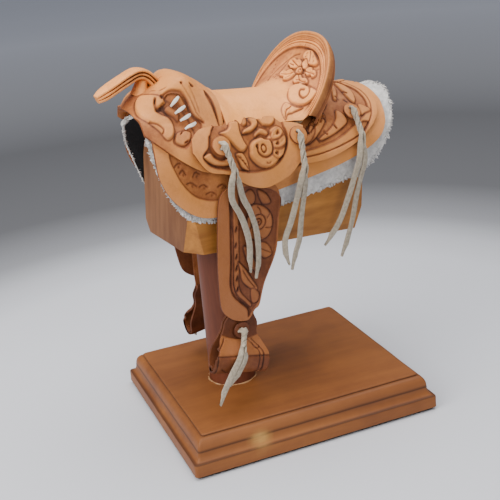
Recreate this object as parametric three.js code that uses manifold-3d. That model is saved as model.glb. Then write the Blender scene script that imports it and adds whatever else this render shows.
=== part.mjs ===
// Miniature hand-tooled western saddle on its wooden display stand.
//
// Units are millimetres, +Z is up, the horn points towards -Y and the saddle's own left side is +X.
// The origin is the centre of the plaque's underside.
// The saddle and its wooden block are built in a frame of their own, the "saddle frame", which is
// turned and tipped a little on top of the post. Every leather layer is laid over the same arched
// form: a point of a layer is given by y (along the saddle), s (distance down from the ridge,
// measured on the block) and d (height above the block's surface).

import * as THREE from 'three';
import { mergeVertices } from 'three/addons/utils/BufferGeometryUtils.js';
import Module from 'manifold-3d';

const wasm = await Module();
wasm.setup();

// ---------------------------------------------------------------- driving dimensions

// Plaque
const FIELD_LENGTH = 136; // flat top, along Y
const FIELD_WIDTH = 115; // flat top, along X
const EDGE_OVERHANG = 8.3; // moulding, outside the flat top
const PLAQUE_TOP = 22.6;
const FELT_THICKNESS = 1.2;
const GAP = 0.3; // clearance between neighbouring pieces

// Post and block
const POST_RADIUS = 14;
const POST_Y = -27.3;
const POST_SOCKET = 10; // depth of the drilled sockets in plaque and block
const SOCKET_CLEARANCE = 0.35;
const ACCESS_RADIUS = 3.8; // holes the screws are driven through
const SADDLE_TURN = THREE.MathUtils.degToRad(7); // block turned on the post
const SADDLE_TIP = THREE.MathUtils.degToRad(5); // front end tipped up
const PIVOT = new THREE.Vector3(0, POST_Y, 112); // top of the post, where the block is turned
const BLOCK_HALF = 30; // half width, and radius of the arched top
const ARCH_Z = 155; // height of the arch's centre
const BLOCK_BOTTOM = 113.6;
const BLOCK_FRONT = -60;
const BLOCK_REAR = 52;
const RIDGE_RISE = 3; // rise of the leather form towards its ends

// Layers over the block, as heights of their inner and outer faces
const FLEECE = [0.5, 4.2];
const SKIRT = [4.7, 6.3];
const BAR = [6.8, 9.0];
const REAR_JOCKEY = [6.8, 8.4];
const COVER_OUTER = 8.4;
const LEATHER = 1.6; // thickness of the top leathers
const SEAT_OUTER = 11.1;
const JOCKEY_OUTER = [11.1, 12.2]; // at the seat's edge and at the jockey's lower edge

// Hanging leathers, as distances from the saddle's middle plane
const STRAP_UPPER_X = 37.35;
const STRAP_LOWER_X = 35.65;
const STRAP_THICKNESS = 1.1;
const FENDER_INNER_X = 38.3;
const FENDER_THICKNESS = 1.6;
const SWING_PIVOT = { y: -26.5, z: 152 }; // where the leathers hang over the tree's bar
const STIRRUP_PIVOT = { y: -34, z: 69.2 };
const STIRRUP_TILT = THREE.MathUtils.degToRad(10); // toe tipped up
const RIGHT_HANG_BACK = THREE.MathUtils.degToRad(11); // right leathers hang further back
const RIGHT_STIRRUP_DROP = 7; // right stirrup hangs lower
const RIGHT_SET_BACK = 0.32; // how far the right front is drawn back, per unit of width

// Cantle
const CANTLE_HALF = 36;
const CANTLE_CENTRE = 14; // height of the rim's widest point above its foot, in its own plane
const CANTLE_RISE = 36.4; // from the widest point to the crest
const CANTLE_SWEEP = THREE.MathUtils.degToRad(108); // how far the rim runs down each side
const CANTLE_THICKNESS = 7;

const CONCHO_RADIUS = 5.4;
const STIRRUP_CONCHO_RADIUS = 5;
const THONG_RADIUS = 1.25;
const KNOT_RADIUS = 2.1;

// ---------------------------------------------------------------- materials

const COLOURS = {
  stain: [0x7a3f1e, 0.45],
  post: [0x6e3423, 0.5],
  pine: [0xb26f2c, 0.45],
  felt: [0x17171a, 0.95],
  steel: [0x9a9a98, 0.4, 0.9],
  treeWood: [0xc7a774, 0.8],
  leather: [0xb27a4c, 0.55],
  leatherLight: [0xc58f5d, 0.5],
  leatherDark: [0x6b3c26, 0.6],
  fleece: [0xd8d6d2, 0.95],
  rawhide: [0xe6dccb, 0.6],
  suede: [0x9c9180, 0.9],
};

function paint(name) {
  const [color, roughness, metalness = 0] = COLOURS[name];
  return new THREE.MeshStandardMaterial({ color, roughness, metalness });
}

// ---------------------------------------------------------------- geometry helpers

const lerp = THREE.MathUtils.lerp;
const V = (x, y, z) => new THREE.Vector3(x, y, z);
const smooth = (x, a, b) => THREE.MathUtils.smoothstep(x, a, b);

/** Uniform Catmull-Rom curve through numbers or [a, b] pairs, as a function of u in 0..1. */
function through(...knots) {
  const pairs = knots.map((k) => (Array.isArray(k) ? k : [k, 0]));
  const curve = new THREE.SplineCurve(pairs.map(([a, b]) => new THREE.Vector2(a, b)));
  const single = !Array.isArray(knots[0]);
  return (u) => {
    const p = curve.getPoint(THREE.MathUtils.clamp(u, 0, 1));
    return single ? p.x : [p.x, p.y];
  };
}

function signedVolume(points, index) {
  let volume = 0;
  for (let i = 0; i < index.length; i += 3) {
    const [a, b, c] = [points[index[i]], points[index[i + 1]], points[index[i + 2]]];
    volume += a.dot(b.clone().cross(c)) / 6;
  }
  return volume;
}

/** Closed solid between two grids of points, each given as a function of u and v in 0..1. */
function shell(nu, nv, outer, inner, loop = false) {
  const rows = loop ? nu : nu + 1;
  const points = [];
  for (const face of [outer, inner]) {
    for (let i = 0; i < rows; i++) {
      for (let j = 0; j <= nv; j++) points.push(face(i / nu, j / nv));
    }
  }
  const at = (layer, i, j) => (layer * rows + (i % rows)) * (nv + 1) + j;
  const index = [];
  const quad = (a, b, c, d) => index.push(a, b, c, a, c, d);
  for (let i = 0; i < nu; i++) {
    for (let j = 0; j < nv; j++) {
      quad(at(0, i, j), at(0, i + 1, j), at(0, i + 1, j + 1), at(0, i, j + 1));
      quad(at(1, i, j), at(1, i, j + 1), at(1, i + 1, j + 1), at(1, i + 1, j));
    }
    quad(at(0, i, 0), at(1, i, 0), at(1, i + 1, 0), at(0, i + 1, 0));
    quad(at(0, i, nv), at(0, i + 1, nv), at(1, i + 1, nv), at(1, i, nv));
  }
  if (!loop) {
    for (let j = 0; j < nv; j++) {
      quad(at(0, 0, j), at(0, 0, j + 1), at(1, 0, j + 1), at(1, 0, j));
      quad(at(0, nu, j), at(1, nu, j), at(1, nu, j + 1), at(0, nu, j + 1));
    }
  }
  if (signedVolume(points, index) < 0) index.reverse();
  const geometry = new THREE.BufferGeometry().setFromPoints(points);
  geometry.setIndex(index);
  geometry.computeVertexNormals();
  return geometry;
}

/** A surface moved inwards by `depth`; its first parameter runs back or down, its second to +X. */
function sunk(surface, depth) {
  const step = 1e-3;
  return (u, v) => {
    const [u0, u1] = [Math.max(0, u - step), Math.min(1, u + step)];
    const [v0, v1] = [Math.max(0, v - step), Math.min(1, v + step)];
    const along = surface(u1, v).sub(surface(u0, v));
    const across = surface(u, v1).sub(surface(u, v0));
    const normal = along.cross(across).normalize();
    return surface(u, v).addScaledVector(normal, depth);
  };
}

function toSolid(geometry) {
  const bare = geometry.clone();
  bare.deleteAttribute('normal');
  bare.deleteAttribute('uv');
  const merged = mergeVertices(bare, 1e-4);
  return new wasm.Manifold(
    new wasm.Mesh({
      numProp: 3,
      vertProperties: new Float32Array(merged.attributes.position.array),
      triVerts: new Uint32Array(merged.index.array),
    }),
  );
}

function fromSolid(solid) {
  const { vertProperties, triVerts } = solid.getMesh();
  const geometry = new THREE.BufferGeometry();
  geometry.setAttribute('position', new THREE.BufferAttribute(vertProperties, 3));
  geometry.setIndex(new THREE.BufferAttribute(triVerts, 1));
  geometry.computeVertexNormals();
  return geometry;
}

function cut(geometry, ...cutters) {
  return fromSolid(cutters.reduce((solid, c) => solid.subtract(toSolid(c)), toSolid(geometry)));
}

function join(geometry, ...others) {
  return fromSolid(others.reduce((solid, o) => solid.add(toSolid(o)), toSolid(geometry)));
}

function box(x0, x1, y0, y1, z0, z1) {
  const geometry = new THREE.BoxGeometry(x1 - x0, y1 - y0, z1 - z0);
  return geometry.translate((x0 + x1) / 2, (y0 + y1) / 2, (z0 + z1) / 2);
}

/** Body of revolution about +Z through (x, y), from [radius, z] pairs. */
function lathe(profile, segments, x = 0, y = 0) {
  const points = profile.map(([r, z]) => new THREE.Vector2(r, z));
  const geometry = new THREE.LatheGeometry(points, segments);
  return geometry.rotateX(Math.PI / 2).translate(x, y, 0);
}

/** Turns a shape drawn in XY, rising along +Z, to stand in YZ and rise along +X. */
const FACE_LEFT = new THREE.Matrix4().makeBasis(V(0, 1, 0), V(0, 0, 1), V(1, 0, 0));

/** Prism of a closed outline of [y, z] points, between two distances from the middle plane. */
function sidePlate(outline, x0, x1) {
  const shape = new THREE.Shape(outline.map(([y, z]) => new THREE.Vector2(y, z)));
  const geometry = new THREE.ExtrudeGeometry(shape, { depth: x1 - x0, bevelEnabled: false });
  return geometry.applyMatrix4(FACE_LEFT).translate(x0, 0, 0);
}

// ---------------------------------------------------------------- the arched form

const rise = (y) => RIDGE_RISE * (y / 65) ** 2;

/** Point of the left half of the form. */
function form(y, s, d) {
  const turn = Math.min(s / BLOCK_HALF, Math.PI / 2);
  const below = Math.max(0, s - (BLOCK_HALF * Math.PI) / 2);
  const r = BLOCK_HALF + d;
  return new THREE.Vector3(r * Math.sin(turn), y, ARCH_Z + rise(y) + r * Math.cos(turn) - below);
}

/** Layer between two edge curves of [y, s] points, from height d0 to d1. */
function layer(upper, lower, d0, d1, nu, nv) {
  const height = (d, v) => (Array.isArray(d) ? lerp(d[0], d[1], v) : d);
  const at = (d) => (u, v) => {
    const [ya, sa] = upper(u);
    const [yb, sb] = lower(u);
    return form(lerp(ya, yb, v), lerp(sa, sb, v), height(d, v));
  };
  return shell(nu, nv, at(d1), at(d0));
}

// ---------------------------------------------------------------- stand

/** Plaque profile: [inset from the outer edge, height], from the underside up. */
function plaqueProfile() {
  const profile = [
    [0.4, FELT_THICKNESS + GAP],
    [0, FELT_THICKNESS + GAP + 0.4],
    [0, 9],
    [0.9, 9.4],
  ];
  const cove = { inset: 3.8, z: 13.9 };
  for (let i = 1; i <= 4; i++) {
    const a = (i / 4) * (Math.PI / 2);
    profile.push([lerp(0.9, cove.inset, Math.sin(a)), lerp(cove.z, 9.4, Math.cos(a))]);
  }
  for (let i = 0; i <= 5; i++) {
    const a = (i / 5) * (Math.PI / 2);
    profile.push([lerp(EDGE_OVERHANG, 3.8, Math.cos(a)), lerp(15, 21, Math.sin(a))]);
  }
  profile.push([EDGE_OVERHANG, PLAQUE_TOP]);
  return profile;
}

/** Rectangle with rounded corners at a given inset, anticlockwise. */
function plaqueRing(inset, z) {
  const corner = 1.6;
  const hx = FIELD_WIDTH / 2 + EDGE_OVERHANG - inset;
  const hy = FIELD_LENGTH / 2 + EDGE_OVERHANG - inset;
  const ring = [];
  const corners = [[1, 1], [-1, 1], [-1, -1], [1, -1]];
  corners.forEach(([sx, sy], k) => {
    for (let i = 0; i <= 2; i++) {
      const a = (k + i / 2) * (Math.PI / 2);
      ring.push(
        new THREE.Vector3(
          sx * (hx - corner) + corner * Math.cos(a),
          sy * (hy - corner) + corner * Math.sin(a),
          z,
        ),
      );
    }
  });
  return ring;
}

/** Solid from a stack of equal-sized rings, closed with flat ends. */
function stack(rings) {
  const points = rings.flat();
  const n = rings[0].length;
  const index = [];
  for (let k = 0; k < rings.length - 1; k++) {
    for (let i = 0; i < n; i++) {
      const [a, b] = [k * n + i, k * n + ((i + 1) % n)];
      index.push(a, b, b + n, a, b + n, a + n);
    }
  }
  const top = (rings.length - 1) * n;
  for (let i = 1; i < n - 1; i++) {
    index.push(0, i + 1, i);
    index.push(top, top + i, top + i + 1);
  }
  const geometry = new THREE.BufferGeometry().setFromPoints(points);
  geometry.setIndex(index);
  geometry.computeVertexNormals();
  return geometry;
}

/** Countersunk wood screw, head at z = 0 and point towards +Z. */
function woodScrew(length, clearance = 0) {
  const c = clearance;
  const head = 3.4 + c;
  const shank = 1.7 + c;
  return lathe(
    [
      [0, -c],
      [head, -c],
      [head, 0.4 + c],
      [shank, 2.4 + c],
      [shank, length - 4 + c],
      [0, length + 2 * c],
    ],
    10,
  );
}

const saddleFrame = new THREE.Matrix4()
  .makeTranslation(PIVOT)
  .multiply(new THREE.Matrix4().makeRotationZ(SADDLE_TURN))
  .multiply(new THREE.Matrix4().makeRotationX(-SADDLE_TIP))
  .multiply(new THREE.Matrix4().makeTranslation(PIVOT.clone().negate()));
const intoSaddleFrame = saddleFrame.clone().invert();

const POST_FOOT = PLAQUE_TOP - POST_SOCKET;
const POST_HEAD = PIVOT.z + POST_SOCKET;
const SCREW_LENGTH = 22;

function placedScrew(z, pointUp, clearance = 0) {
  const screw = woodScrew(SCREW_LENGTH, clearance);
  if (!pointUp) screw.rotateX(Math.PI);
  return screw.translate(0, POST_Y, z);
}

const BASE_SCREW_Z = FELT_THICKNESS + GAP + 0.6;
const BLOCK_SCREW_Z = POST_HEAD + 12;

function postSocket(z0, z1) {
  return new THREE.CylinderGeometry(
    POST_RADIUS + SOCKET_CLEARANCE,
    POST_RADIUS + SOCKET_CLEARANCE,
    z1 - z0,
    36,
  )
    .rotateX(Math.PI / 2)
    .translate(0, POST_Y, (z0 + z1) / 2);
}

function accessHole(z0, z1) {
  return lathe([[0, z0], [ACCESS_RADIUS, z0], [ACCESS_RADIUS, z1], [0, z1]], 10, 0, POST_Y);
}

function plaque() {
  const rings = plaqueProfile().map(([inset, z]) => plaqueRing(inset, z));
  const screwHole = placedScrew(BASE_SCREW_Z, true, SOCKET_CLEARANCE);
  const headRoom = accessHole(0.5, BASE_SCREW_Z);
  const socket = postSocket(POST_FOOT - GAP, PLAQUE_TOP + 1);
  return cut(stack(rings), socket, screwHole, headRoom);
}

function felt() {
  const inset = 1.6;
  return stack([plaqueRing(inset, 0), plaqueRing(inset, FELT_THICKNESS)]);
}

function post() {
  const chamfer = 0.8;
  const body = lathe(
    [
      [0, POST_FOOT],
      [POST_RADIUS - chamfer, POST_FOOT],
      [POST_RADIUS, POST_FOOT + chamfer],
      [POST_RADIUS, POST_HEAD - chamfer],
      [POST_RADIUS - chamfer, POST_HEAD],
      [0, POST_HEAD],
    ],
    36,
    0,
    POST_Y,
  );
  return cut(
    body,
    placedScrew(BASE_SCREW_Z, true, SOCKET_CLEARANCE),
    placedScrew(BLOCK_SCREW_Z, false, SOCKET_CLEARANCE),
  );
}

/** Wooden block: arched top, hand-trimmed corners, socket for the post. */
function block() {
  const outline = [
    [-BLOCK_HALF, BLOCK_BOTTOM + 7],
    [-BLOCK_HALF + 6, BLOCK_BOTTOM],
    [BLOCK_HALF, BLOCK_BOTTOM],
  ];
  const steps = 24;
  for (let i = 0; i <= steps; i++) {
    const a = (i / steps) * Math.PI;
    outline.push([BLOCK_HALF * Math.cos(a), ARCH_Z + BLOCK_HALF * Math.sin(a)]);
  }
  const shape = new THREE.Shape(outline.map(([x, z]) => new THREE.Vector2(x, z)));
  const depth = BLOCK_REAR - BLOCK_FRONT;
  const body = new THREE.ExtrudeGeometry(shape, { depth, bevelEnabled: false });
  body.rotateX(Math.PI / 2).translate(0, BLOCK_REAR, 0);

  // a large box whose lower face is the cutting plane through `point`, facing along `normal`
  const slice = (point, normal) => {
    const cutter = new THREE.BoxGeometry(200, 200, 60).translate(0, 0, 30);
    const turn = new THREE.Quaternion().setFromUnitVectors(V(0, 0, 1), normal.normalize());
    return cutter.applyQuaternion(turn).translate(...point);
  };
  const frontCorner = slice([BLOCK_HALF, BLOCK_FRONT + 8, BLOCK_BOTTOM], V(3.2, -4, -1));
  const rearFoot = slice([0, BLOCK_REAR, BLOCK_BOTTOM + 13], V(0, 13, -4.5));
  const socket = postSocket(90, POST_HEAD + GAP).applyMatrix4(intoSaddleFrame);
  const screwHole = placedScrew(BLOCK_SCREW_Z, false, SOCKET_CLEARANCE).applyMatrix4(intoSaddleFrame);
  const shaft = accessHole(BLOCK_SCREW_Z, BLOCK_SCREW_Z + 80).applyMatrix4(intoSaddleFrame);
  return cut(body, frontCorner, rearFoot, socket, screwHole, shaft);
}

// ---------------------------------------------------------------- tree, fleece and skirts

function fleecePad() {
  const upper = through([-78, 24], [-66, 12], [-50, 0.8], [-20, 0.8], [10, 0.8], [45, 0.8], [79, 0.8]);
  const lower = through(
    [-81, 28], [-78, 44], [-66, 65], [-50, 71], [-10, 67], [30, 59], [51, 54], [70, 35], [80, 8],
  );
  return layer(upper, lower, FLEECE[0], FLEECE[1], 14, 9);
}

function skirt() {
  const upper = through([-78, 24], [-66, 12], [-50, 0.8], [-20, 0.8], [10, 0.8], [40, 0.8], [66, 0.8]);
  const lower = through(
    [-80, 29], [-79, 46], [-68, 61], [-48, 68], [-11, 57], [30, 48], [55, 41], [65, 33], [68, 20],
  );
  return layer(upper, lower, SKIRT[0], SKIRT[1], 16, 9);
}

function treeBar() {
  const upper = through([-56, 10], [-30, 8.5], [24, 8.5]);
  const lower = through([-56, 17], [-38, 18.5], [-26, 26], [6, 27], [24, 17]);
  return layer(upper, lower, BAR[0], BAR[1], 10, 3);
}

function groundSeat() {
  const half = 7.4;
  const at = (d) => (u, v) => {
    const s = lerp(-half, half, v);
    const point = form(lerp(-35, 20, u), Math.abs(s), d);
    point.x *= Math.sign(s);
    return point;
  };
  return shell(4, 4, at(BAR[1]), at(BAR[0]));
}

function rearJockey() {
  const upper = through([3, 39], [17, 33], [27, 24], [32, 12], [34, 0.8]);
  const lower = through([4.5, 44], [22, 43.5], [44, 38], [60, 28], [63, 14], [59, 0.8]);
  return layer(upper, lower, REAR_JOCKEY[0], REAR_JOCKEY[1], 12, 5);
}

/** Right front corner of the leathers, which lies a little further back than the left one. */
function setBack(geometry) {
  const position = geometry.attributes.position;
  for (let i = 0; i < position.count; i++) {
    const [x, y] = [position.getX(i), position.getY(i)];
    const reach = RIGHT_SET_BACK * smooth(-y, 45, 76);
    position.setY(i, y + reach * Math.max(0, -x));
  }
  return geometry;
}

// ---------------------------------------------------------------- fork

/** Outer face of the leather over the fork: u runs from the gullet lip back, v across. */
const FORK = {
  y: through(-84, -78, -68, -56, -46, -37.5),
  top: through(192, 198, 203.5, 210, 206.5, 200.5),
  shoulder: through(17, 17, 18, 19, 20, 22),
  drop: through(2, 4, 4, 5, 6.5, 6),
  waist: through(22, 22.5, 23, 24, 25, 25),
  low: through(28, 32, 38, 43, 44, 44),
};

const FORK_WAIST = 0.66; // share of a half section above the waist

function forkSurface(u, v) {
  const side = Math.sign(v - 0.5) || 1;
  const k = Math.abs(2 * v - 1);
  const y = FORK.y(u);
  const waist = FORK.waist(u);
  if (k > FORK_WAIST) {
    const s = lerp(waist, FORK.low(u), (k - FORK_WAIST) / (1 - FORK_WAIST));
    const point = form(y, s, COVER_OUTER);
    point.x *= side;
    return point;
  }
  const top = FORK.top(u);
  const shoulder = FORK.shoulder(u);
  const [meet, below] = [form(y, waist, COVER_OUTER), form(y, waist + 8, COVER_OUTER)];
  const section = through(
    [0, top],
    [shoulder * 0.55, top - 0.15 * FORK.drop(u)],
    [shoulder, top - FORK.drop(u)],
    [meet.x, meet.z],
    [below.x, below.z],
  );
  const [x, z] = section((k / FORK_WAIST) * 0.75);
  return new THREE.Vector3(side * x, y, z);
}

function forkCover() {
  return shell(12, 16, forkSurface, sunk(forkSurface, LEATHER));
}

function treeFork() {
  const inside = (u, v) => [lerp(0.22, 0.93, u), lerp(0.3, 0.7, v)];
  const outer = (u, v) => sunk(forkSurface, LEATHER + 0.7)(...inside(u, v));
  const inner = (u, v) => sunk(forkSurface, LEATHER + 6)(...inside(u, v));
  return shell(6, 10, outer, inner);
}

/** Stitches of the fork's lacing from the top down, each with its rear and its front hole [u, v]. */
const STITCHES = [
  [[0.525, 0.752], [0.455, 0.766]],
  [[0.565, 0.777], [0.48, 0.789]],
  [[0.605, 0.796], [0.515, 0.81]],
  [[0.645, 0.816], [0.54, 0.838]],
];

/** Rawhide lace stitched zigzag down one side of the fork. */
function forkLacing() {
  const lift = sunk(forkSurface, -1.6);
  const points = STITCHES.flat().map(([u, v]) => lift(u, v));
  return tube(points, 0.7, 22, 8);
}

/** Round bar along a smooth curve through the given points. */
function tube(points, radius, steps, sides) {
  const section = new THREE.Shape();
  for (let i = 0; i < sides; i++) {
    const a = (i / sides) * 2 * Math.PI;
    const [x, y] = [radius * Math.cos(a), radius * Math.sin(a)];
    if (i === 0) section.moveTo(x, y);
    else section.lineTo(x, y);
  }
  section.closePath();
  const extrudePath = new THREE.CatmullRomCurve3(points);
  return new THREE.ExtrudeGeometry(section, { steps, extrudePath, curveSegments: 1, bevelEnabled: false });
}

// ---------------------------------------------------------------- horn

const HORN = {
  path: through(
    [-61, 199], [-65.5, 204.5], [-70, 208.6], [-75, 209.5], [-82, 206.4], [-90, 202], [-97.3, 197.8],
  ),
  halfWidth: 5.5,
  layer: 1.45,
  pitch: 1.75,
};

/** Point of the horn at u along its middle line, `height` above it and x to the side. */
function hornPoint(u, height, x) {
  const [y, z] = HORN.path(u);
  const [ya, za] = HORN.path(u - 0.02);
  const [yb, zb] = HORN.path(u + 0.02);
  const along = new THREE.Vector2(yb - ya, zb - za).normalize();
  return new THREE.Vector3(x, y + along.y * height, z - along.x * height);
}

/** One of the three leather layers of the horn: -1 lower, 0 core, 1 upper. */
function hornLayer(rank) {
  const width = (u) => HORN.halfWidth * Math.sqrt(Math.max(0.06, 1 - smooth(u, 0.72, 1.06) ** 2));
  const face = (height) => (u, v) => hornPoint(u, height, lerp(-1, 1, v) * width(u));
  const middle = rank * HORN.pitch;
  return shell(14, 4, face(middle + HORN.layer / 2), face(middle - HORN.layer / 2));
}

/** Slot through the fork's leather and wood for the horn's root. */
function hornSlot() {
  const clearance = 0.45;
  const half = HORN.pitch + HORN.layer / 2 + clearance;
  const face = (height) => (u, v) => {
    const slot = hornPoint(0.45 * u, height, lerp(-1, 1, v) * (HORN.halfWidth + clearance));
    return u > 0 ? slot : slot.add(V(0, 2, -2.4));
  };
  return shell(8, 1, face(half), face(-half));
}

// ---------------------------------------------------------------- seat and cantle

/** Crest of the cantle at angle a from the middle, `inward` from the rim in the cantle's plane. */
function rim(a, inward = 0) {
  const x = (CANTLE_HALF - inward) * Math.sign(Math.sin(a)) * Math.abs(Math.sin(a)) ** 0.85;
  const h = CANTLE_CENTRE + (CANTLE_RISE - inward) * Math.cos(a);
  return new THREE.Vector3(x, 11 + 0.46 * h, 182 + 0.865 * h);
}

const RIM_MARGIN = 8.6; // the seat leather stops this far short of the crest, under the binding
const SEAT_FRONT = -37;
const SEAT_HALF = 25; // half width of the seat leather, measured round the form

/** Upper face of the seat leather: u to 0.5 runs back over the form, then up the dish. */
function seatSurface(u, v) {
  const across = 2 * v - 1;
  const flat = (y) => {
    const s = Math.abs(across) * SEAT_HALF;
    const lift = 3.4 * (1 - across ** 2) * (1 - smooth(y, SEAT_FRONT, SEAT_FRONT + 9));
    const point = form(y, s, SEAT_OUTER + lift);
    point.x *= Math.sign(across) || 1;
    return point;
  };
  const base = flat(4);
  if (u <= 0.5) return flat(lerp(SEAT_FRONT, 4, u / 0.5));
  const crest = rim(across * CANTLE_SWEEP);
  const w = (1 - RIM_MARGIN / crest.distanceTo(base)) * ((u - 0.5) / 0.5);
  const reach = 1 - 0.75 * across ** 2;
  const leave = V(0, 26 * reach, 0); // the dish starts level and meets the crest nearly upright
  const arrive = V(0, 15 * reach, 38 * reach);
  const [w2, w3] = [w * w, w * w * w];
  return base
    .multiplyScalar(2 * w3 - 3 * w2 + 1)
    .addScaledVector(leave, w3 - 2 * w2 + w)
    .addScaledVector(crest, 3 * w2 - 2 * w3)
    .addScaledVector(arrive, w3 - w2);
}

function seatLeather() {
  return shell(15, 14, seatSurface, sunk(seatSurface, LEATHER));
}

/** Rear face of the cantle: v runs across, w from the crest down to the rear jockeys. */
function cantleRear(w, v) {
  const across = 2 * v - 1;
  const a = across * CANTLE_SWEEP;
  const crest = rim(a, 1.5).add(V(0, CANTLE_THICKNESS * 0.88, -CANTLE_THICKNESS * 0.47));
  const foot = form(34 - 17 * across ** 2, Math.abs(across) * 29, REAR_JOCKEY[1] + 0.7);
  foot.x *= Math.sign(across) || 1;
  return crest.lerp(foot, w);
}

function cantleBack() {
  const outer = (u, v) => cantleRear(lerp(0.14, 1, u), lerp(0.02, 0.98, v));
  return shell(5, 14, outer, sunk(outer, 1.4));
}

function treeCantle() {
  const front = sunk(seatSurface, LEATHER + 0.5);
  const rear = sunk(cantleRear, 2.1);
  const outer = (u, v) => front(lerp(0.7, 0.97, u), lerp(0.24, 0.76, v));
  const inner = (u, v) => rear(lerp(0.6, 0.22, u), lerp(0.24, 0.76, v));
  return shell(4, 12, outer, inner);
}

function cantleBinding() {
  const points = [];
  const turns = 16;
  for (let i = 0; i <= turns; i++) {
    const a = lerp(-CANTLE_SWEEP, CANTLE_SWEEP, i / turns);
    points.push(rim(a, 3.1).add(V(0, 2.6, -1.4)));
  }
  return tube(points, 3.1, 28, 10);
}

function seatJockey() {
  const upper = through([-60.5, 31], [-55, 27.2], [-46, 26], [-30, 25.8], [-10, 25.8], [3, 26.5]);
  const lower = through([-61.5, 36], [-54, 43], [-41, 45], [-30, 50.5], [-19, 52.5], [-7, 48], [1, 41]);
  const inner = JOCKEY_OUTER.map((d) => d - LEATHER);
  return layer(upper, lower, inner, JOCKEY_OUTER, 14, 5);
}

// ---------------------------------------------------------------- fender, strap and stirrup

function fender() {
  const half = [
    [-46.6, 147], [-48.2, 128], [-48.4, 110], [-47.6, 92], [-46, 83], [-41, 77.6], [-35, 75.2],
    [-29.5, 74.9], [-26.2, 80], [-23, 83], [-19.8, 95], [-12.5, 112], [-10.8, 128], [-10.6, 146],
  ];
  const crown = [];
  const steps = 8;
  for (let i = 1; i < steps; i++) {
    const a = (i / steps) * Math.PI;
    crown.push([lerp(-10.6, -46.6, i / steps), 146.5 + 9 * Math.sin(a)]);
  }
  return sidePlate([...half, ...crown], FENDER_INNER_X, FENDER_INNER_X + FENDER_THICKNESS);
}

/** Strap that carries the stirrup, behind the fender. */
function stirrupLeather(drop) {
  const line = (x) => (u, v) => {
    const z = lerp(STIRRUP_PIVOT.z - 4 - drop, 154, u);
    const middle = lerp(-33.2, -26.5, smooth(z, 70, 130));
    const stand = lerp(STRAP_LOWER_X, STRAP_UPPER_X, smooth(z, 108, 124));
    return new THREE.Vector3(stand + x, middle + lerp(-8, 8, v), z);
  };
  return shell(12, 1, line(STRAP_THICKNESS / 2), line(-STRAP_THICKNESS / 2));
}

/** Middle line of the stirrup's leather band, from the outer neck round the tread, [x, z]. */
const STIRRUP = {
  path: through(
    [37.2, 79], [37.2, 71.5], [37.5, 64.6], [41.2, 61], [44.8, 57.3], [45.6, 52.6], [44.6, 47.8],
    [41.2, 45.6], [37.6, 47.6], [35.7, 52.6], [34.6, 59], [34.1, 66], [34.1, 72.5], [34.1, 79],
  ),
  band: 1.5,
};

function stirrupBand(thickness, shift, from, to, steps) {
  const face = (height) => (u, v) => {
    const t = lerp(from, to, u);
    const [x, z] = STIRRUP.path(t);
    const [xa, za] = STIRRUP.path(t - 0.01);
    const [xb, zb] = STIRRUP.path(t + 0.01);
    const along = new THREE.Vector2(xb - xa, zb - za).normalize();
    const width = lerp(33, 21, smooth(z, 54, 70));
    const y = STIRRUP_PIVOT.y + lerp(-0.5, 0.5, v) * width;
    return new THREE.Vector3(x - along.y * height, y, z + along.x * height);
  };
  return shell(steps, 2, face(shift + thickness / 2), face(shift - thickness / 2));
}

/** Turns a hanging piece about an axis along X through a pivot. */
function swing(geometry, angle, pivot) {
  return geometry
    .translate(0, -pivot.y, -pivot.z)
    .rotateX(angle)
    .translate(0, pivot.y, pivot.z);
}

// ---------------------------------------------------------------- conchos and strings

/** Leather rosette with two slots, its back at z = 0. */
function concho(radius = CONCHO_RADIUS) {
  const disc = lathe(
    [
      [0, 0],
      [radius - 0.3, 0],
      [radius, 0.5],
      [radius - 0.6, 1.3],
      [0, 1.6],
    ],
    16,
  );
  const slot = (x) => box(x - 0.55, x + 0.55, -1.7, 1.7, -1, 3);
  return cut(disc, slot(-1.6), slot(1.6));
}

/** A frame whose Z is the form's outward normal at y, s and whose Y points forward. */
function onForm(y, s, d) {
  const point = form(y, s, d);
  const turn = Math.min(s / BLOCK_HALF, Math.PI / 2);
  const out = new THREE.Vector3(Math.sin(turn), 0, Math.cos(turn));
  const down = new THREE.Vector3(Math.cos(turn), 0, -Math.sin(turn));
  return new THREE.Matrix4().makeBasis(down, new THREE.Vector3(0, 1, 0), out).setPosition(point);
}

const CONCHOS = {
  front: { y: -45, s: 34, d: 12.6 },
  mid: { y: 2.5, s: 32.5, d: 12.8 },
  rear: { y: 43.5, s: 25, d: 9.2 },
};
const STIRRUP_CONCHO_X = 38.4;

/** A pair of thongs: a knot below the concho, then two tails, given by route points. */
function stringPair(knotTop, knotEnd, tails) {
  const axis = new THREE.Vector3().subVectors(knotEnd, knotTop);
  const knot = new THREE.CapsuleGeometry(KNOT_RADIUS, axis.length(), 3, 8);
  const turn = new THREE.Quaternion().setFromUnitVectors(V(0, 1, 0), axis.normalize());
  const middle = knotTop.clone().lerp(knotEnd, 0.5);
  knot.applyQuaternion(turn).translate(middle.x, middle.y, middle.z);
  const parts = tails.map((points) => {
    const route = [knotTop.clone().lerp(knotEnd, 0.8), ...points];
    const length = new THREE.CatmullRomCurve3(route).getLength();
    return tube(route, THONG_RADIUS, Math.ceil(length / (6 * THONG_RADIUS)), 8);
  });
  return join(knot, ...parts);
}

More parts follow.
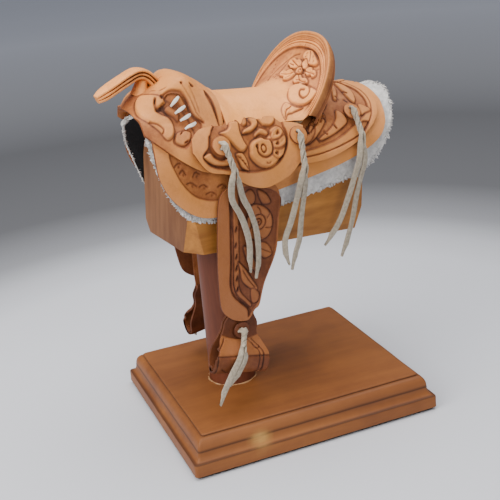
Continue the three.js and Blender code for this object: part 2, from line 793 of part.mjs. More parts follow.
/** Hand-chosen routes in the saddle frame, left side. */
const STRINGS = {
  front: {
    knot: [V(42.9, -45, 175.8), V(46.4, -41, 162)],
    tails: [
      [
        V(45, -42.5, 154), V(44.2, -41.5, 146), V(43.4, -37, 138),
        V(42.8, -33, 129), V(42.4, -30.5, 119), V(42.2, -31, 103.5),
      ],
      [
        V(45, -37.6, 154), V(44.2, -35, 146), V(43.4, -30.5, 138),
        V(42.8, -26.5, 127), V(42.4, -25, 113), V(42.2, -25.5, 99.5),
      ],
    ],
  },
  mid: {
    knot: [V(42.6, 1, 176.8), V(46.3, 2, 159)],
    tails: [
      [
        V(43.6, 0.4, 148), V(42.3, -1.2, 139), V(41.9, -4.5, 127),
        V(41.6, -7.6, 118), V(41.6, -7, 108), V(41.6, -5.6, 103),
      ],
      [
        V(43.6, 3.8, 148), V(42.3, 3.4, 139), V(41.9, 2.4, 127),
        V(41.6, 1.6, 117), V(41.6, -0.8, 109), V(41.6, -2, 100),
      ],
    ],
  },
  rear: {
    knot: [V(32.9, 42, 185.3), V(40.2, 43.5, 171.7)],
    tails: [
      [
        V(41, 41.5, 158), V(40.2, 39.2, 149), V(39.4, 35.6, 136),
        V(38.8, 32, 126), V(38.2, 27, 117), V(37.8, 20.5, 110),
      ],
      [
        V(41, 45.4, 158), V(40.2, 43.8, 149), V(39.4, 41.2, 136),
        V(38.8, 39.2, 122), V(38.2, 36.6, 111), V(37.8, 34, 100.5),
      ],
    ],
  },
};

const STIRRUP_STRING = {
  knot: [V(42.9, -34.5, 69.5), V(46.6, -36, 62)],
  tails: [
    [V(48.6, -38.5, 56), V(48.9, -41.5, 48), V(48.9, -44.5, 39), V(48.6, -47.5, 29)],
    [V(48.6, -35, 56), V(48.9, -37, 50), V(48.9, -39, 45), V(48.6, -41.5, 39.5)],
  ],
};

// ---------------------------------------------------------------- assembly

const saddle = new THREE.Group();
saddle.name = 'western_saddle';

function add(name, geometry, colour, parent = saddle) {
  const mesh = new THREE.Mesh(geometry, paint(colour));
  mesh.name = name;
  parent.add(mesh);
  return mesh;
}

add('stand_felt', felt(), 'felt');
add('stand_base', plaque(), 'stain');
add('stand_post', post(), 'post');
add('base_screw', placedScrew(BASE_SCREW_Z, true), 'steel');
add('block_screw', placedScrew(BLOCK_SCREW_Z, false), 'steel');

const tack = new THREE.Group();
tack.position.copy(PIVOT);
tack.rotation.set(-SADDLE_TIP, 0, SADDLE_TURN, 'ZXY');
saddle.add(tack);
const onPost = new THREE.Group();
onPost.position.copy(PIVOT).negate();
tack.add(onPost);

const horn = hornSlot();
add('stand_block', block(), 'pine', onPost);
add('tree_fork', cut(setBack(treeFork()), horn), 'treeWood', onPost);
add('tree_cantle', treeCantle(), 'treeWood', onPost);
add('ground_seat', groundSeat(), 'leatherDark', onPost);
add('fork_cover', cut(setBack(forkCover()), horn), 'leather', onPost);
add('horn_lower', hornLayer(-1), 'leatherDark', onPost);
add('horn_core', hornLayer(0), 'leatherDark', onPost);
add('horn_upper', hornLayer(1), 'leatherLight', onPost);
add('seat_leather', seatLeather(), 'leatherLight', onPost);
add('cantle_back', cantleBack(), 'leather', onPost);
add('cantle_binding', cantleBinding(), 'leather', onPost);

const mirror = (geometry) => {
  const copy = geometry.clone().scale(-1, 1, 1);
  copy.index.array.reverse();
  copy.computeVertexNormals();
  return copy;
};

for (const side of ['left', 'right']) {
  const place = (geometry) => {
    const indexed = geometry.index ? geometry : mergeVertices(geometry);
    return side === 'left' ? indexed : mirror(indexed);
  };
  const hang = side === 'left' ? 0 : RIGHT_HANG_BACK;
  const tilt = side === 'left' ? STIRRUP_TILT : 0;
  const drop = side === 'left' ? 0 : RIGHT_STIRRUP_DROP;
  const hung = (geometry) => place(swing(geometry, hang, SWING_PIVOT));
  const tilted = (geometry) => hung(swing(geometry, -tilt, STIRRUP_PIVOT).translate(0, 0, -drop));

  add(`tree_bar_${side}`, place(treeBar()), 'treeWood', onPost);
  add(`fleece_${side}`, setBack(place(fleecePad())), 'fleece', onPost);
  add(`skirt_${side}`, setBack(place(skirt())), 'leather', onPost);
  add(`rear_jockey_${side}`, place(rearJockey()), 'leather', onPost);
  add(`seat_jockey_${side}`, setBack(place(seatJockey())), 'leather', onPost);
  add(`fork_lacing_${side}`, setBack(place(forkLacing())), 'rawhide', onPost);

  for (const [where, { y, s, d }] of Object.entries(CONCHOS)) {
    add(`concho_${where}_${side}`, place(concho().applyMatrix4(onForm(y, s, d))), 'leather', onPost);
    const { knot, tails } = STRINGS[where];
    add(`string_${where}_${side}`, place(stringPair(...knot, tails)), 'suede', onPost);
  }

  add(`fender_${side}`, hung(fender()), 'leather', onPost);
  add(`stirrup_leather_${side}`, hung(stirrupLeather(drop)), 'leatherDark', onPost);
  add(`stirrup_${side}`, tilted(stirrupBand(STIRRUP.band, 0, 0, 1, 30)), 'leather', onPost);
  add(`stirrup_tread_${side}`, tilted(stirrupBand(1.2, -1.7, 0.42, 0.62, 6)), 'leatherDark', onPost);
  const rosette = concho(STIRRUP_CONCHO_RADIUS).applyMatrix4(FACE_LEFT);
  rosette.translate(STIRRUP_CONCHO_X, STIRRUP_PIVOT.y, STIRRUP_PIVOT.z);
  add(`concho_stirrup_${side}`, tilted(rosette), 'leatherDark', onPost);
  const { knot, tails: long } = STIRRUP_STRING;
  const tails = side === 'left' ? long : long.map((points) => points.slice(0, -1));
  add(`string_stirrup_${side}`, hung(stringPair(...knot, tails).translate(0, 0, -drop)), 'suede', onPost);
}

export default saddle;
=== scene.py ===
"""Miniature hand-tooled western saddle on its display stand.

Lengths are in millimetres until a mesh is made, then in metres in the CAD frame: +Z up, the horn
towards -Y, the saddle's own left side at +X. The saddle is built in its own frame, which is turned
and tipped a little on the post. Leathers lie over an arched form: y runs along the saddle, s is the
distance down from the ridge (negative on the right side) and d the height above the block.
"""

import math

import bmesh
import bpy
import numpy as np
from mathutils import Matrix, Vector


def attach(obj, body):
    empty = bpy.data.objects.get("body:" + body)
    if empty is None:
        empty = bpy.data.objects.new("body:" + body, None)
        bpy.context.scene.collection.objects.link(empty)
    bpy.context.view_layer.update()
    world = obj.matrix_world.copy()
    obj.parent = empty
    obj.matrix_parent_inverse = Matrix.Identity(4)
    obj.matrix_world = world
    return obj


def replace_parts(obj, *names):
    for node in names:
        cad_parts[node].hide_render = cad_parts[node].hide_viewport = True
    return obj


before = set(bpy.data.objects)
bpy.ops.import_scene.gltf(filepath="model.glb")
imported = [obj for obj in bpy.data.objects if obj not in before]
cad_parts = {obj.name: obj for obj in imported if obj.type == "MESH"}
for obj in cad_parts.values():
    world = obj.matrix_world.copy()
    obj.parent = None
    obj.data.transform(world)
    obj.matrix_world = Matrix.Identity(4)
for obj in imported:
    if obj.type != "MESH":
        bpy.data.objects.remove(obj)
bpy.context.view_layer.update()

MM = 0.001
rng = np.random.default_rng(7)

# ---------------------------------------------------------------- dimensions, as in the CAD

PLAQUE_TOP = 22.6
POST_RADIUS = 14.0
POST_Y = -27.3
PIVOT = np.array([0.0, POST_Y, 112.0])
SADDLE_TURN = math.radians(7)
SADDLE_TIP = math.radians(5)
BLOCK_HALF = 30.0
ARCH_Z = 155.0
BLOCK_BOTTOM = 113.6
BLOCK_FRONT = -60.0
BLOCK_REAR = 52.0
SWING_PIVOT = (-26.5, 152.0)
STIRRUP_PIVOT = (-34.0, 69.2)
STIRRUP_TILT = math.radians(10)
RIGHT_HANG_BACK = math.radians(11)
RIGHT_STIRRUP_DROP = 7.0
RIGHT_SET_BACK = 0.32
RIDGE_RISE = 3.0
COVER_OUTER = 8.4
LEATHER = 1.6
CANTLE_HALF = 36.0
CANTLE_CENTRE = 14.0
CANTLE_RISE = 36.4
CANTLE_SWEEP = math.radians(108)

# ---------------------------------------------------------------- camera

CAMERA_AZIMUTH = math.radians(69.41)
CAMERA_ELEVATION = math.radians(20.60)
CAMERA_ROLL = math.radians(-5.09)
CAMERA_PLACE = (0.5049, -0.1985, 0.3024)
CAMERA_LENS = 70.2


def make_camera():
    az, el, roll = CAMERA_AZIMUTH, CAMERA_ELEVATION, CAMERA_ROLL
    back = Vector((math.sin(az) * math.cos(el), -math.cos(az) * math.cos(el), math.sin(el)))
    right = Vector((math.cos(az), math.sin(az), 0.0))
    up = back.cross(right)
    c, s = math.cos(roll), math.sin(roll)
    turned = Matrix((c * right + s * up, -s * right + c * up, back)).transposed()
    data = bpy.data.cameras.new("camera")
    data.lens = CAMERA_LENS
    data.sensor_width = 36.0
    data.clip_start = 0.01
    camera = bpy.data.objects.new("camera", data)
    camera.matrix_world = Matrix.Translation(CAMERA_PLACE) @ turned.to_4x4()
    bpy.context.scene.collection.objects.link(camera)
    bpy.context.scene.camera = camera


make_camera()

# ---------------------------------------------------------------- numbers and curves


def lerp(a, b, t):
    return a + (b - a) * t


def smooth(x, a, b):
    t = np.clip((np.asarray(x, float) - a) / (b - a), 0.0, 1.0)
    return t * t * (3.0 - 2.0 * t)


def through(*knots):
    """Uniform Catmull-Rom curve through numbers or points, as a function of u in 0..1."""
    points = np.array(knots, float)
    single = points.ndim == 1
    if single:
        points = points[:, None]

    def curve(u):
        u = np.asarray(u, float)
        last = len(points) - 1
        x = np.clip(u, 0.0, 1.0) * last
        i = np.minimum(x.astype(int), last - 1)
        t = (x - i)[..., None]
        p0, p1 = points[np.maximum(i - 1, 0)], points[i]
        p2, p3 = points[i + 1], points[np.minimum(i + 2, last)]
        v0, v1 = 0.5 * (p2 - p0), 0.5 * (p3 - p1)
        t2, t3 = t * t, t * t * t
        result = (2 * p1 - 2 * p2 + v0 + v1) * t3 + (3 * p2 - 3 * p1 - 2 * v0 - v1) * t2 + v0 * t + p1
        return result[..., 0] if single else result

    return curve


def closed_curve(points, per_span=6):
    """Smooth closed line through points, as an array."""
    points = np.array(points, float)
    count = len(points)
    t = np.linspace(0, 1, per_span, endpoint=False)[:, None]
    spans = []
    for i in range(count):
        p0, p1, p2, p3 = (points[(i + k) % count] for k in (-1, 0, 1, 2))
        spans.append(
            0.5 * (2 * p1 + (p2 - p0) * t + (2 * p0 - 5 * p1 + 4 * p2 - p3) * t**2
                   + (3 * p1 - p0 - 3 * p2 + p3) * t**3)
        )
    return np.concatenate(spans)


def open_curve(points, per_span=6):
    """Smooth open line through points, as an array."""
    curve = through(*points)
    return curve(np.linspace(0, 1, per_span * (len(points) - 1) + 1))


# ---------------------------------------------------------------- frames

TURN = np.array([[math.cos(SADDLE_TURN), -math.sin(SADDLE_TURN), 0],
                 [math.sin(SADDLE_TURN), math.cos(SADDLE_TURN), 0],
                 [0, 0, 1]])
TIP = np.array([[1, 0, 0],
                [0, math.cos(SADDLE_TIP), math.sin(SADDLE_TIP)],
                [0, -math.sin(SADDLE_TIP), math.cos(SADDLE_TIP)]])
SADDLE_ROTATION = TURN @ TIP


def to_world(points):
    """Saddle frame in millimetres to the CAD frame in metres."""
    return ((np.asarray(points, float) - PIVOT) @ SADDLE_ROTATION.T + PIVOT) * MM


def set_back(points):
    """The right front of the leathers lies a little further back than the left."""
    points = np.array(points, float)
    reach = RIGHT_SET_BACK * smooth(-points[..., 1], 45, 76)
    points[..., 1] += reach * np.maximum(0, -points[..., 0])
    return points


SIDES = (("left", 1), ("right", -1))


def to_side(points, side):
    """Left-side points of a fixed leather, or their place on the right."""
    return points if side > 0 else set_back(points * np.array([-1, 1, 1]))


def facing(faces, side):
    """Faces of a left piece, turned over for its mirror image on the right."""
    return faces if side > 0 else [face[::-1] for face in faces]


def swing(points, angle, pivot):
    """Turns points about an axis along X through the pivot (y, z)."""
    points = np.array(points, float)
    y, z = points[..., 1] - pivot[0], points[..., 2] - pivot[1]
    c, s = math.cos(angle), math.sin(angle)
    points[..., 1] = pivot[0] + c * y - s * z
    points[..., 2] = pivot[1] + s * y + c * z
    return points


def hang(points, side, stirrup=False):
    """Left-side points of a hanging piece to their place on the left (1) or right (-1)."""
    points = np.array(points, float)
    if stirrup:
        points = swing(points, -STIRRUP_TILT if side > 0 else 0.0, STIRRUP_PIVOT)
        points[..., 2] -= 0 if side > 0 else RIGHT_STIRRUP_DROP
    points = swing(points, 0.0 if side > 0 else RIGHT_HANG_BACK, SWING_PIVOT)
    points[..., 0] *= side
    return points


# ---------------------------------------------------------------- surfaces, as in the CAD


def form(y, s, d):
    """Point over the arched form."""
    y, s, d = np.broadcast_arrays(np.asarray(y, float), s, d)
    run = np.abs(s)
    turn = np.minimum(run / BLOCK_HALF, math.pi / 2)
    below = np.maximum(0, run - BLOCK_HALF * math.pi / 2)
    r = BLOCK_HALF + d
    x = np.where(s < 0, -1.0, 1.0) * r * np.sin(turn)
    return np.stack([x, y, ARCH_Z + RIDGE_RISE * (y / 65) ** 2 + r * np.cos(turn) - below], -1)


FORK_Y = through(-84, -78, -68, -56, -46, -37.5)
FORK_TOP = through(192, 198, 203.5, 210, 206.5, 200.5)
FORK_SHOULDER = through(17, 17, 18, 19, 20, 22)
FORK_DROP = through(2, 4, 4, 5, 6.5, 6)
FORK_WAIST = through(22, 22.5, 23, 24, 25, 25)
FORK_LOW = through(28, 32, 38, 43, 44, 44)
FORK_SPLIT = 0.66


def fork_surface(u, v):
    """u from the gullet lip back, v across from right to left."""
    u, v = np.broadcast_arrays(np.asarray(u, float), v)
    side = np.where(v < 0.5, -1.0, 1.0)
    k = np.abs(2 * v - 1)
    y, waist = FORK_Y(u), FORK_WAIST(u)
    low = form(y, lerp(waist, FORK_LOW(u), (k - FORK_SPLIT) / (1 - FORK_SPLIT)), COVER_OUTER)
    top, shoulder, drop = FORK_TOP(u), FORK_SHOULDER(u), FORK_DROP(u)
    meet, below = form(y, waist, COVER_OUTER), form(y, waist + 8, COVER_OUTER)
    zero = np.zeros_like(top)
    px = [zero, shoulder * 0.55, shoulder, meet[..., 0], below[..., 0]]
    pz = [top, top - 0.15 * drop, top - drop, meet[..., 2], below[..., 2]]
    t = np.clip(k / FORK_SPLIT, 0, 1) * 3
    i = np.minimum(t.astype(int), 2)
    f = t - i

    def pick(values, offset):
        index = np.clip(i + offset, 0, 4)
        return np.choose(index, values)

    def span(values):
        p0, p1, p2, p3 = (pick(values, n) for n in (-1, 0, 1, 2))
        v0, v1 = 0.5 * (p2 - p0), 0.5 * (p3 - p1)
        return (2 * p1 - 2 * p2 + v0 + v1) * f**3 + (3 * p2 - 3 * p1 - 2 * v0 - v1) * f**2 + v0 * f + p1

    above = np.stack([span(px), y, span(pz)], -1)
    points = np.where((k > FORK_SPLIT)[..., None], low, above)
    points[..., 0] *= side
    return points


def rim(a, inward=0.0):
    """Crest of the cantle at angle a from its middle, drawn inward in the cantle's plane."""
    a = np.asarray(a, float)
    x = (CANTLE_HALF - inward) * np.sign(np.sin(a)) * np.abs(np.sin(a)) ** 0.85
    h = CANTLE_CENTRE + (CANTLE_RISE - inward) * np.cos(a)
    return np.stack([x, 11 + 0.46 * h, 182 + 0.865 * h], -1)


SEAT_FRONT, SEAT_REAR = -37.3, 4.0
SEAT_HALF = 25.6
SEAT_OUTER = 11.1
RIM_MARGIN = 4.4


def seat_surface(u, v):
    """u to 0.5 runs back over the form, then up the cantle's dish; v across."""
    u, v = np.broadcast_arrays(np.asarray(u, float), v)
    across = 2 * v - 1

    def flat(y):
        lift = 3.4 * (1 - across**2) * (1 - smooth(y, SEAT_FRONT, SEAT_FRONT + 9))
        return form(y, across * SEAT_HALF, SEAT_OUTER + lift)

    base = flat(np.full(u.shape, SEAT_REAR))
    crest = rim(across * CANTLE_SWEEP)
    reach = np.linalg.norm(crest - base, axis=-1)
    w = ((1 - RIM_MARGIN / reach) * np.clip((u - 0.5) / 0.5, 0, 1))[..., None]
    pull = (1 - 0.75 * across**2)[..., None]
    dish = (base * (2 * w**3 - 3 * w**2 + 1) + pull * np.array([0, 26, 0]) * (w**3 - 2 * w**2 + w)
            + crest * (3 * w**2 - 2 * w**3) + pull * np.array([0, 15, 38]) * (w**3 - w**2))
    front = flat(lerp(SEAT_FRONT, SEAT_REAR, np.clip(u / 0.5, 0, 1)))
    return np.where((u <= 0.5)[..., None], front, dish)


def cantle_rear(w, v):
    """Rear face of the cantle: w from the crest down, v across."""
    w, v = np.broadcast_arrays(np.asarray(w, float), v)
    across = 2 * v - 1
    crest = rim(across * CANTLE_SWEEP, 1.5) + np.array([0, 6.16, -3.29])
    foot = form(34 - 17 * across**2, across * 29, 9.1)
    return lerp(crest, foot, w[..., None])


HORN_PATH = through([-61, 199], [-65.5, 204.5], [-70, 208.6], [-75, 209.5], [-82, 206.4], [-90, 202],
                    [-97.3, 197.8])

# left-side outlines as (y, s): upper edge, lower edge
PANELS = {
    "fleece": (
        through([-78, 24], [-66, 12], [-50, 0.8], [-20, 0.8], [10, 0.8], [45, 0.8], [79, 0.8]),
        through([-81, 28], [-78, 44], [-66, 65], [-50, 71], [-10, 67], [30, 59], [51, 54], [70, 35], [80, 8]),
    ),
    "skirt": (
        through([-78, 24], [-66, 12], [-50, 0.8], [-20, 0.8], [10, 0.8], [40, 0.8], [66, 0.8]),
        through([-80, 29], [-79, 46], [-68, 61], [-48, 68], [-11, 57], [30, 48], [55, 41], [65, 33],
                [68, 20]),
    ),
    "rear_jockey": (
        through([1, 33], [12, 29], [22, 21.5], [29, 11], [33, 0.8]),
        through([4.5, 44], [22, 43.5], [44, 38], [60, 28], [63, 14], [59, 0.8]),
    ),
    "seat_jockey": (
        through([-60.5, 31], [-55, 27.2], [-46, 25.6], [-40, 25.2], [-36.5, 23.2], [-31, 23.0], [-29, 25.0],
                [-25.5, 22.6], [-20, 22.6], [-17, 24.6], [-13, 22.6], [-8, 23.4], [-4, 26], [2, 26.8],
                [7.5, 28.5]),
        through([-61.5, 36], [-54, 43], [-41, 45], [-30, 50.5], [-19, 52.5], [-7, 48.2], [0, 44],
                [5.5, 39.5]),
    ),
}

# ---------------------------------------------------------------- materials


def new_material(name, rough=0.6):
    material = bpy.data.materials.new(name)
    material.use_nodes = True
    nodes = material.node_tree.nodes
    shader = nodes["Principled BSDF"]
    shader.inputs["Roughness"].default_value = rough
    return material, nodes, material.node_tree.links, shader


def value_noise(nodes, links, scale, detail=4.0, rough=0.55, stretch=None, distortion=0.0):
    """Object-space noise; stretch scales the axes for a grain direction."""
    noise = nodes.new("ShaderNodeTexNoise")
    noise.inputs["Scale"].default_value = scale
    noise.inputs["Detail"].default_value = detail
    noise.inputs["Roughness"].default_value = rough
    noise.inputs["Distortion"].default_value = distortion
    coords = nodes.new("ShaderNodeTexCoord")
    if stretch:
        mapping = nodes.new("ShaderNodeMapping")
        mapping.inputs["Scale"].default_value = stretch
        links.new(coords.outputs["Object"], mapping.inputs["Vector"])
        links.new(mapping.outputs["Vector"], noise.inputs["Vector"])
    else:
        links.new(coords.outputs["Object"], noise.inputs["Vector"])
    return noise.outputs["Fac"]


def ramp(nodes, links, factor, stops):
    node = nodes.new("ShaderNodeValToRGB")
    elements = node.color_ramp.elements
    while len(elements) < len(stops):
        elements.new(0.5)
    for element, (place, color) in zip(elements, stops):
        element.position = place
        element.color = (*color, 1.0) if len(color) == 3 else color
    links.new(factor, node.inputs["Fac"])
    return node.outputs["Color"]


def mix(nodes, links, factor, a, b, mode="MIX"):
    node = nodes.new("ShaderNodeMix")
    node.data_type = "RGBA"
    node.blend_type = mode
    for socket, value in (("Factor", factor), ("A", a), ("B", b)):
        pin = next(i for i in node.inputs if i.name == socket and i.enabled)
        if hasattr(value, "is_linked"):
            links.new(value, pin)
        else:
            pin.default_value = value if isinstance(value, (int, float)) else (*value, 1.0)
    return next(o for o in node.outputs if o.enabled)


def math_node(nodes, links, operation, a, b=0.0, c=0.0, clamp=False):
    node = nodes.new("ShaderNodeMath")
    node.operation = operation
    node.use_clamp = clamp
    for pin, value in zip(node.inputs, (a, b, c)):
        if hasattr(value, "is_linked"):
            links.new(value, pin)
        else:
            pin.default_value = value
    return node.outputs[0]


def bump(nodes, links, shader, height, strength, distance):
    node = nodes.new("ShaderNodeBump")
    node.inputs["Strength"].default_value = strength
    node.inputs["Distance"].default_value = distance
    links.new(height, node.inputs["Height"])
    links.new(node.outputs["Normal"], shader.inputs["Normal"])


def attribute(nodes, name):
    node = nodes.new("ShaderNodeAttribute")
    node.attribute_name = name
    return node.outputs["Fac"]


def leather_material(name, light, mid, dark, rough=0.5, blotch=0.35):
    """Antiqued leather: a darkening attribute on the mesh darkens recesses and burnished edges; in the
    recesses it is partly antique stain and partly painted shade.
    """
    material, nodes, links, shader = new_material(name, rough)
    stain_and_shade = attribute(nodes, "stain_and_shade")
    cloud = value_noise(nodes, links, 75, 6, 0.65)
    fine = value_noise(nodes, links, 420, 5, 0.7)
    pores = value_noise(nodes, links, 1300, 4, 0.65)
    shift = math_node(nodes, links, "MULTIPLY_ADD", cloud, blotch, -0.5 * blotch)
    speck = math_node(nodes, links, "MULTIPLY_ADD", fine, 0.3, -0.15)
    # darkening from the attribute: antique stain and burnished edges, and painted shade in the cuts and round
    # raised shapes
    stained_and_shaded = math_node(nodes, links, "MULTIPLY", stain_and_shade, math_node(nodes, links, "MULTIPLY_ADD", cloud, 1.1, 0.3))
    total = math_node(nodes, links, "ADD", stained_and_shaded, math_node(nodes, links, "ADD", shift, speck))
    base = ramp(nodes, links, total, [(0.0, light), (0.42, mid), (1.0, dark)])
    golden = ramp(nodes, links, value_noise(nodes, links, 32, 4, 0.6), [(0.42, (0, 0, 0)), (0.62, (1, 1, 1))])
    base = mix(nodes, links, math_node(nodes, links, "MULTIPLY", golden, 0.75), base, (0.9, 0.85, 0.56),
               "MULTIPLY")
    links.new(base, shader.inputs["Base Color"])
    roughness = math_node(nodes, links, "MULTIPLY_ADD", cloud, 0.25, rough - 0.12)
    links.new(roughness, shader.inputs["Roughness"])
    shader.inputs["Specular IOR Level"].default_value = 0.22
    grain = math_node(nodes, links, "MULTIPLY_ADD", pores, 0.5,
                      math_node(nodes, links, "MULTIPLY", fine, 1.3))
    bump(nodes, links, shader, grain, 0.5, 0.0004)
    return material


def wood_material(name, light, dark, rough, stretch, scale=9.0, lines=26.0, figure=0.4):
    """Stained wood with long grain; stretch is small along the grain."""
    material, nodes, links, shader = new_material(name, rough)
    flow = value_noise(nodes, links, scale, 6, 0.6, stretch, 0.6)
    fibre = value_noise(nodes, links, scale * lines, 3, 0.7, stretch)
    cloud = value_noise(nodes, links, 22, 4, 0.6)
    rings = math_node(nodes, links, "PINGPONG", math_node(nodes, links, "MULTIPLY", flow, 7.0), 1.0)
    tone = math_node(nodes, links, "MULTIPLY_ADD", rings, figure,
                     math_node(nodes, links, "MULTIPLY", fibre, 0.35))
    tone = math_node(nodes, links, "MULTIPLY_ADD", cloud, 0.85 - figure,
                     math_node(nodes, links, "SUBTRACT", tone, 0.12))
    wood_colour = ramp(nodes, links, tone, [(0.1, dark), (0.85, light)])
    # painted shade from the darkening attribute, on the plaque in the coves of its moulding
    wood_colour = mix(nodes, links, attribute(nodes, "stain_and_shade"), wood_colour, tuple(0.3 * c for c in dark))
    bare = math_node(nodes, links, "MULTIPLY", attribute(nodes, "wear"),
                     math_node(nodes, links, "MULTIPLY_ADD", fibre,
                     2.2, -0.45), clamp=True)
    links.new(mix(nodes, links, bare, wood_colour, (0.62, 0.36, 0.1)), shader.inputs["Base Color"])
    roughness = math_node(nodes, links, "MULTIPLY_ADD", cloud, 0.22, rough - 0.1)
    links.new(roughness, shader.inputs["Roughness"])
    shader.inputs["Specular IOR Level"].default_value = 0.3
    bump(nodes, links, shader, math_node(nodes, links, "ADD", fibre, rings), 0.12, 0.0002)
    return material


leather = leather_material("tooled_leather", (0.68, 0.275, 0.087), (0.31, 0.10, 0.036), (0.065, 0.018, 0.009),
                           0.52)
seat_leather = leather_material("seat_leather", (0.92, 0.38, 0.115), (0.44, 0.15, 0.052),
                                (0.09, 0.026, 0.012), 0.55)
# fender and stirrup leather: a darker dye, darkened further as painted shade for the hanging pieces in shade
fender_dye_and_shade = leather_material("fender_dye_and_shade", (0.34, 0.122, 0.043), (0.17, 0.052, 0.022),
                                  (0.04, 0.011, 0.006),
                                  0.52)
edge_leather = leather_material("dark_leather", (0.2, 0.075, 0.035), (0.11, 0.038, 0.02), (0.03, 0.01, 0.007),
                                0.5)
plaque_wood = wood_material("plaque_wood", (0.32, 0.115, 0.028), (0.10, 0.027, 0.010), 0.5, (1.0, 0.14, 1.0),
                            16, 9,
                            figure=0.12)
post_wood = wood_material("post_wood", (0.22, 0.062, 0.028), (0.09, 0.024, 0.012), 0.5, (1.0, 1.0, 0.09), 30,
                          9)
block_wood = wood_material("block_wood", (0.62, 0.26, 0.05), (0.15, 0.046, 0.01), 0.5, (1.0, 0.07, 1.0), 28,
                           7)
end_grain = wood_material("block_end_grain", (0.30, 0.135, 0.06), (0.12, 0.045, 0.02), 0.7, (1.0, 1.0, 0.12),
                          40, 5)
tree_wood = wood_material("tree_wood", (0.6, 0.42, 0.24), (0.4, 0.26, 0.13), 0.7, (1.0, 0.1, 1.0), 24, 8)


def simple_material(name, light, dark, rough, scale, depth):
    material, nodes, links, shader = new_material(name, rough)
    cloud = value_noise(nodes, links, scale, 6, 0.65)
    links.new(ramp(nodes, links, cloud, [(0.3, dark), (0.7, light)]), shader.inputs["Base Color"])
    bump(nodes, links, shader, cloud, 0.6, depth)
    return material, shader


# near-black felt: the pad under the plaque, and painted shade on the fleece's underside
black_felt_and_shade, _ = simple_material("felt", (0.012, 0.012, 0.014), (0.003, 0.003, 0.004), 0.95, 1500, 0.0005)
fleece_wool, wool_shader = simple_material("fleece", (0.74, 0.72, 0.70), (0.42, 0.41, 0.40), 0.95, 300,
                                           0.0010)
wool_shader.inputs["Sheen Weight"].default_value = 0.2
suede, suede_shader = simple_material("suede", (0.46, 0.395, 0.30), (0.26, 0.215, 0.155), 0.92, 620, 0.0003)
suede_shader.inputs["Sheen Weight"].default_value = 0.25
rawhide, _ = simple_material("rawhide", (0.9, 0.87, 0.8), (0.7, 0.64, 0.55), 0.6, 500, 0.0003)
glue, _ = simple_material("dried_glue", (0.5, 0.28, 0.12), (0.3, 0.14, 0.06), 0.5, 300, 0.0004)
steel, steel_shader = simple_material("steel", (0.62, 0.62, 0.6), (0.5, 0.5, 0.48), 0.35, 200, 0.0001)
steel_shader.inputs["Metallic"].default_value = 0.9

# ---------------------------------------------------------------- meshes


def set_values(piece, name, values):
    """Stores one number per point for the materials."""
    layer = piece.data.attributes.new(name, "FLOAT", "POINT")
    layer.data.foreach_set("value", np.asarray(values, np.float32))


def make_object(name, points, faces, material, body, stain_and_shade_values=None, sharp=40, materials=None, slots=None):
    """Mesh from world points in metres."""
    mesh = bpy.data.meshes.new(name)
    mesh.from_pydata(points.tolist() if hasattr(points, "tolist") else points, [], faces)
    mesh.polygons.foreach_set("use_smooth", np.ones(len(mesh.polygons), bool))
    mesh.set_sharp_from_angle(angle=math.radians(sharp))
    for each in materials or [material]:
        mesh.materials.append(each)
    if slots is not None:
        mesh.polygons.foreach_set("material_index", np.asarray(slots, np.int32))
    mesh.update()
    piece = bpy.data.objects.new(name, mesh)
    if stain_and_shade_values is not None:
        set_values(piece, "stain_and_shade", stain_and_shade_values)
    bpy.context.scene.collection.objects.link(piece)
    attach(piece, body)
    return piece


def grid_faces(rows, cols, start=0, flip=False, wrap=False):
    """Quads of a grid of points; wrap closes it along its rows."""
    i, j = np.meshgrid(np.arange(rows if wrap else rows - 1), np.arange(cols - 1), indexing="ij")
    a = start + i * cols + j
    b = start + ((i + 1) % rows) * cols + j
    quads = np.stack([a, b, b + 1, a + 1], -1).reshape(-1, 4)
    return quads[:, ::-1] if flip else quads


def normals_of(grid):
    """Unit normals of a grid of points."""
    du = np.gradient(grid, axis=0)
    dv = np.gradient(grid, axis=1)
    n = np.cross(du, dv)
    return n / np.maximum(np.linalg.norm(n, axis=-1, keepdims=True), 1e-9)


def boundary(rows, cols):
    """Indices of a grid's rim, in order."""
    top = [(0, j) for j in range(cols)]
    right = [(i, cols - 1) for i in range(1, rows)]
    bottom = [(rows - 1, j) for j in range(cols - 2, -1, -1)]
    left = [(i, 0) for i in range(rows - 2, 0, -1)]
    return top + right + bottom + left


EDGE_AGE, INNER_AGE = 0.75, 0.45  # darkening of the burnished edges and of the flesh side
INNER_STRIDE = 4  # the inner face has one point for this many of the outer face


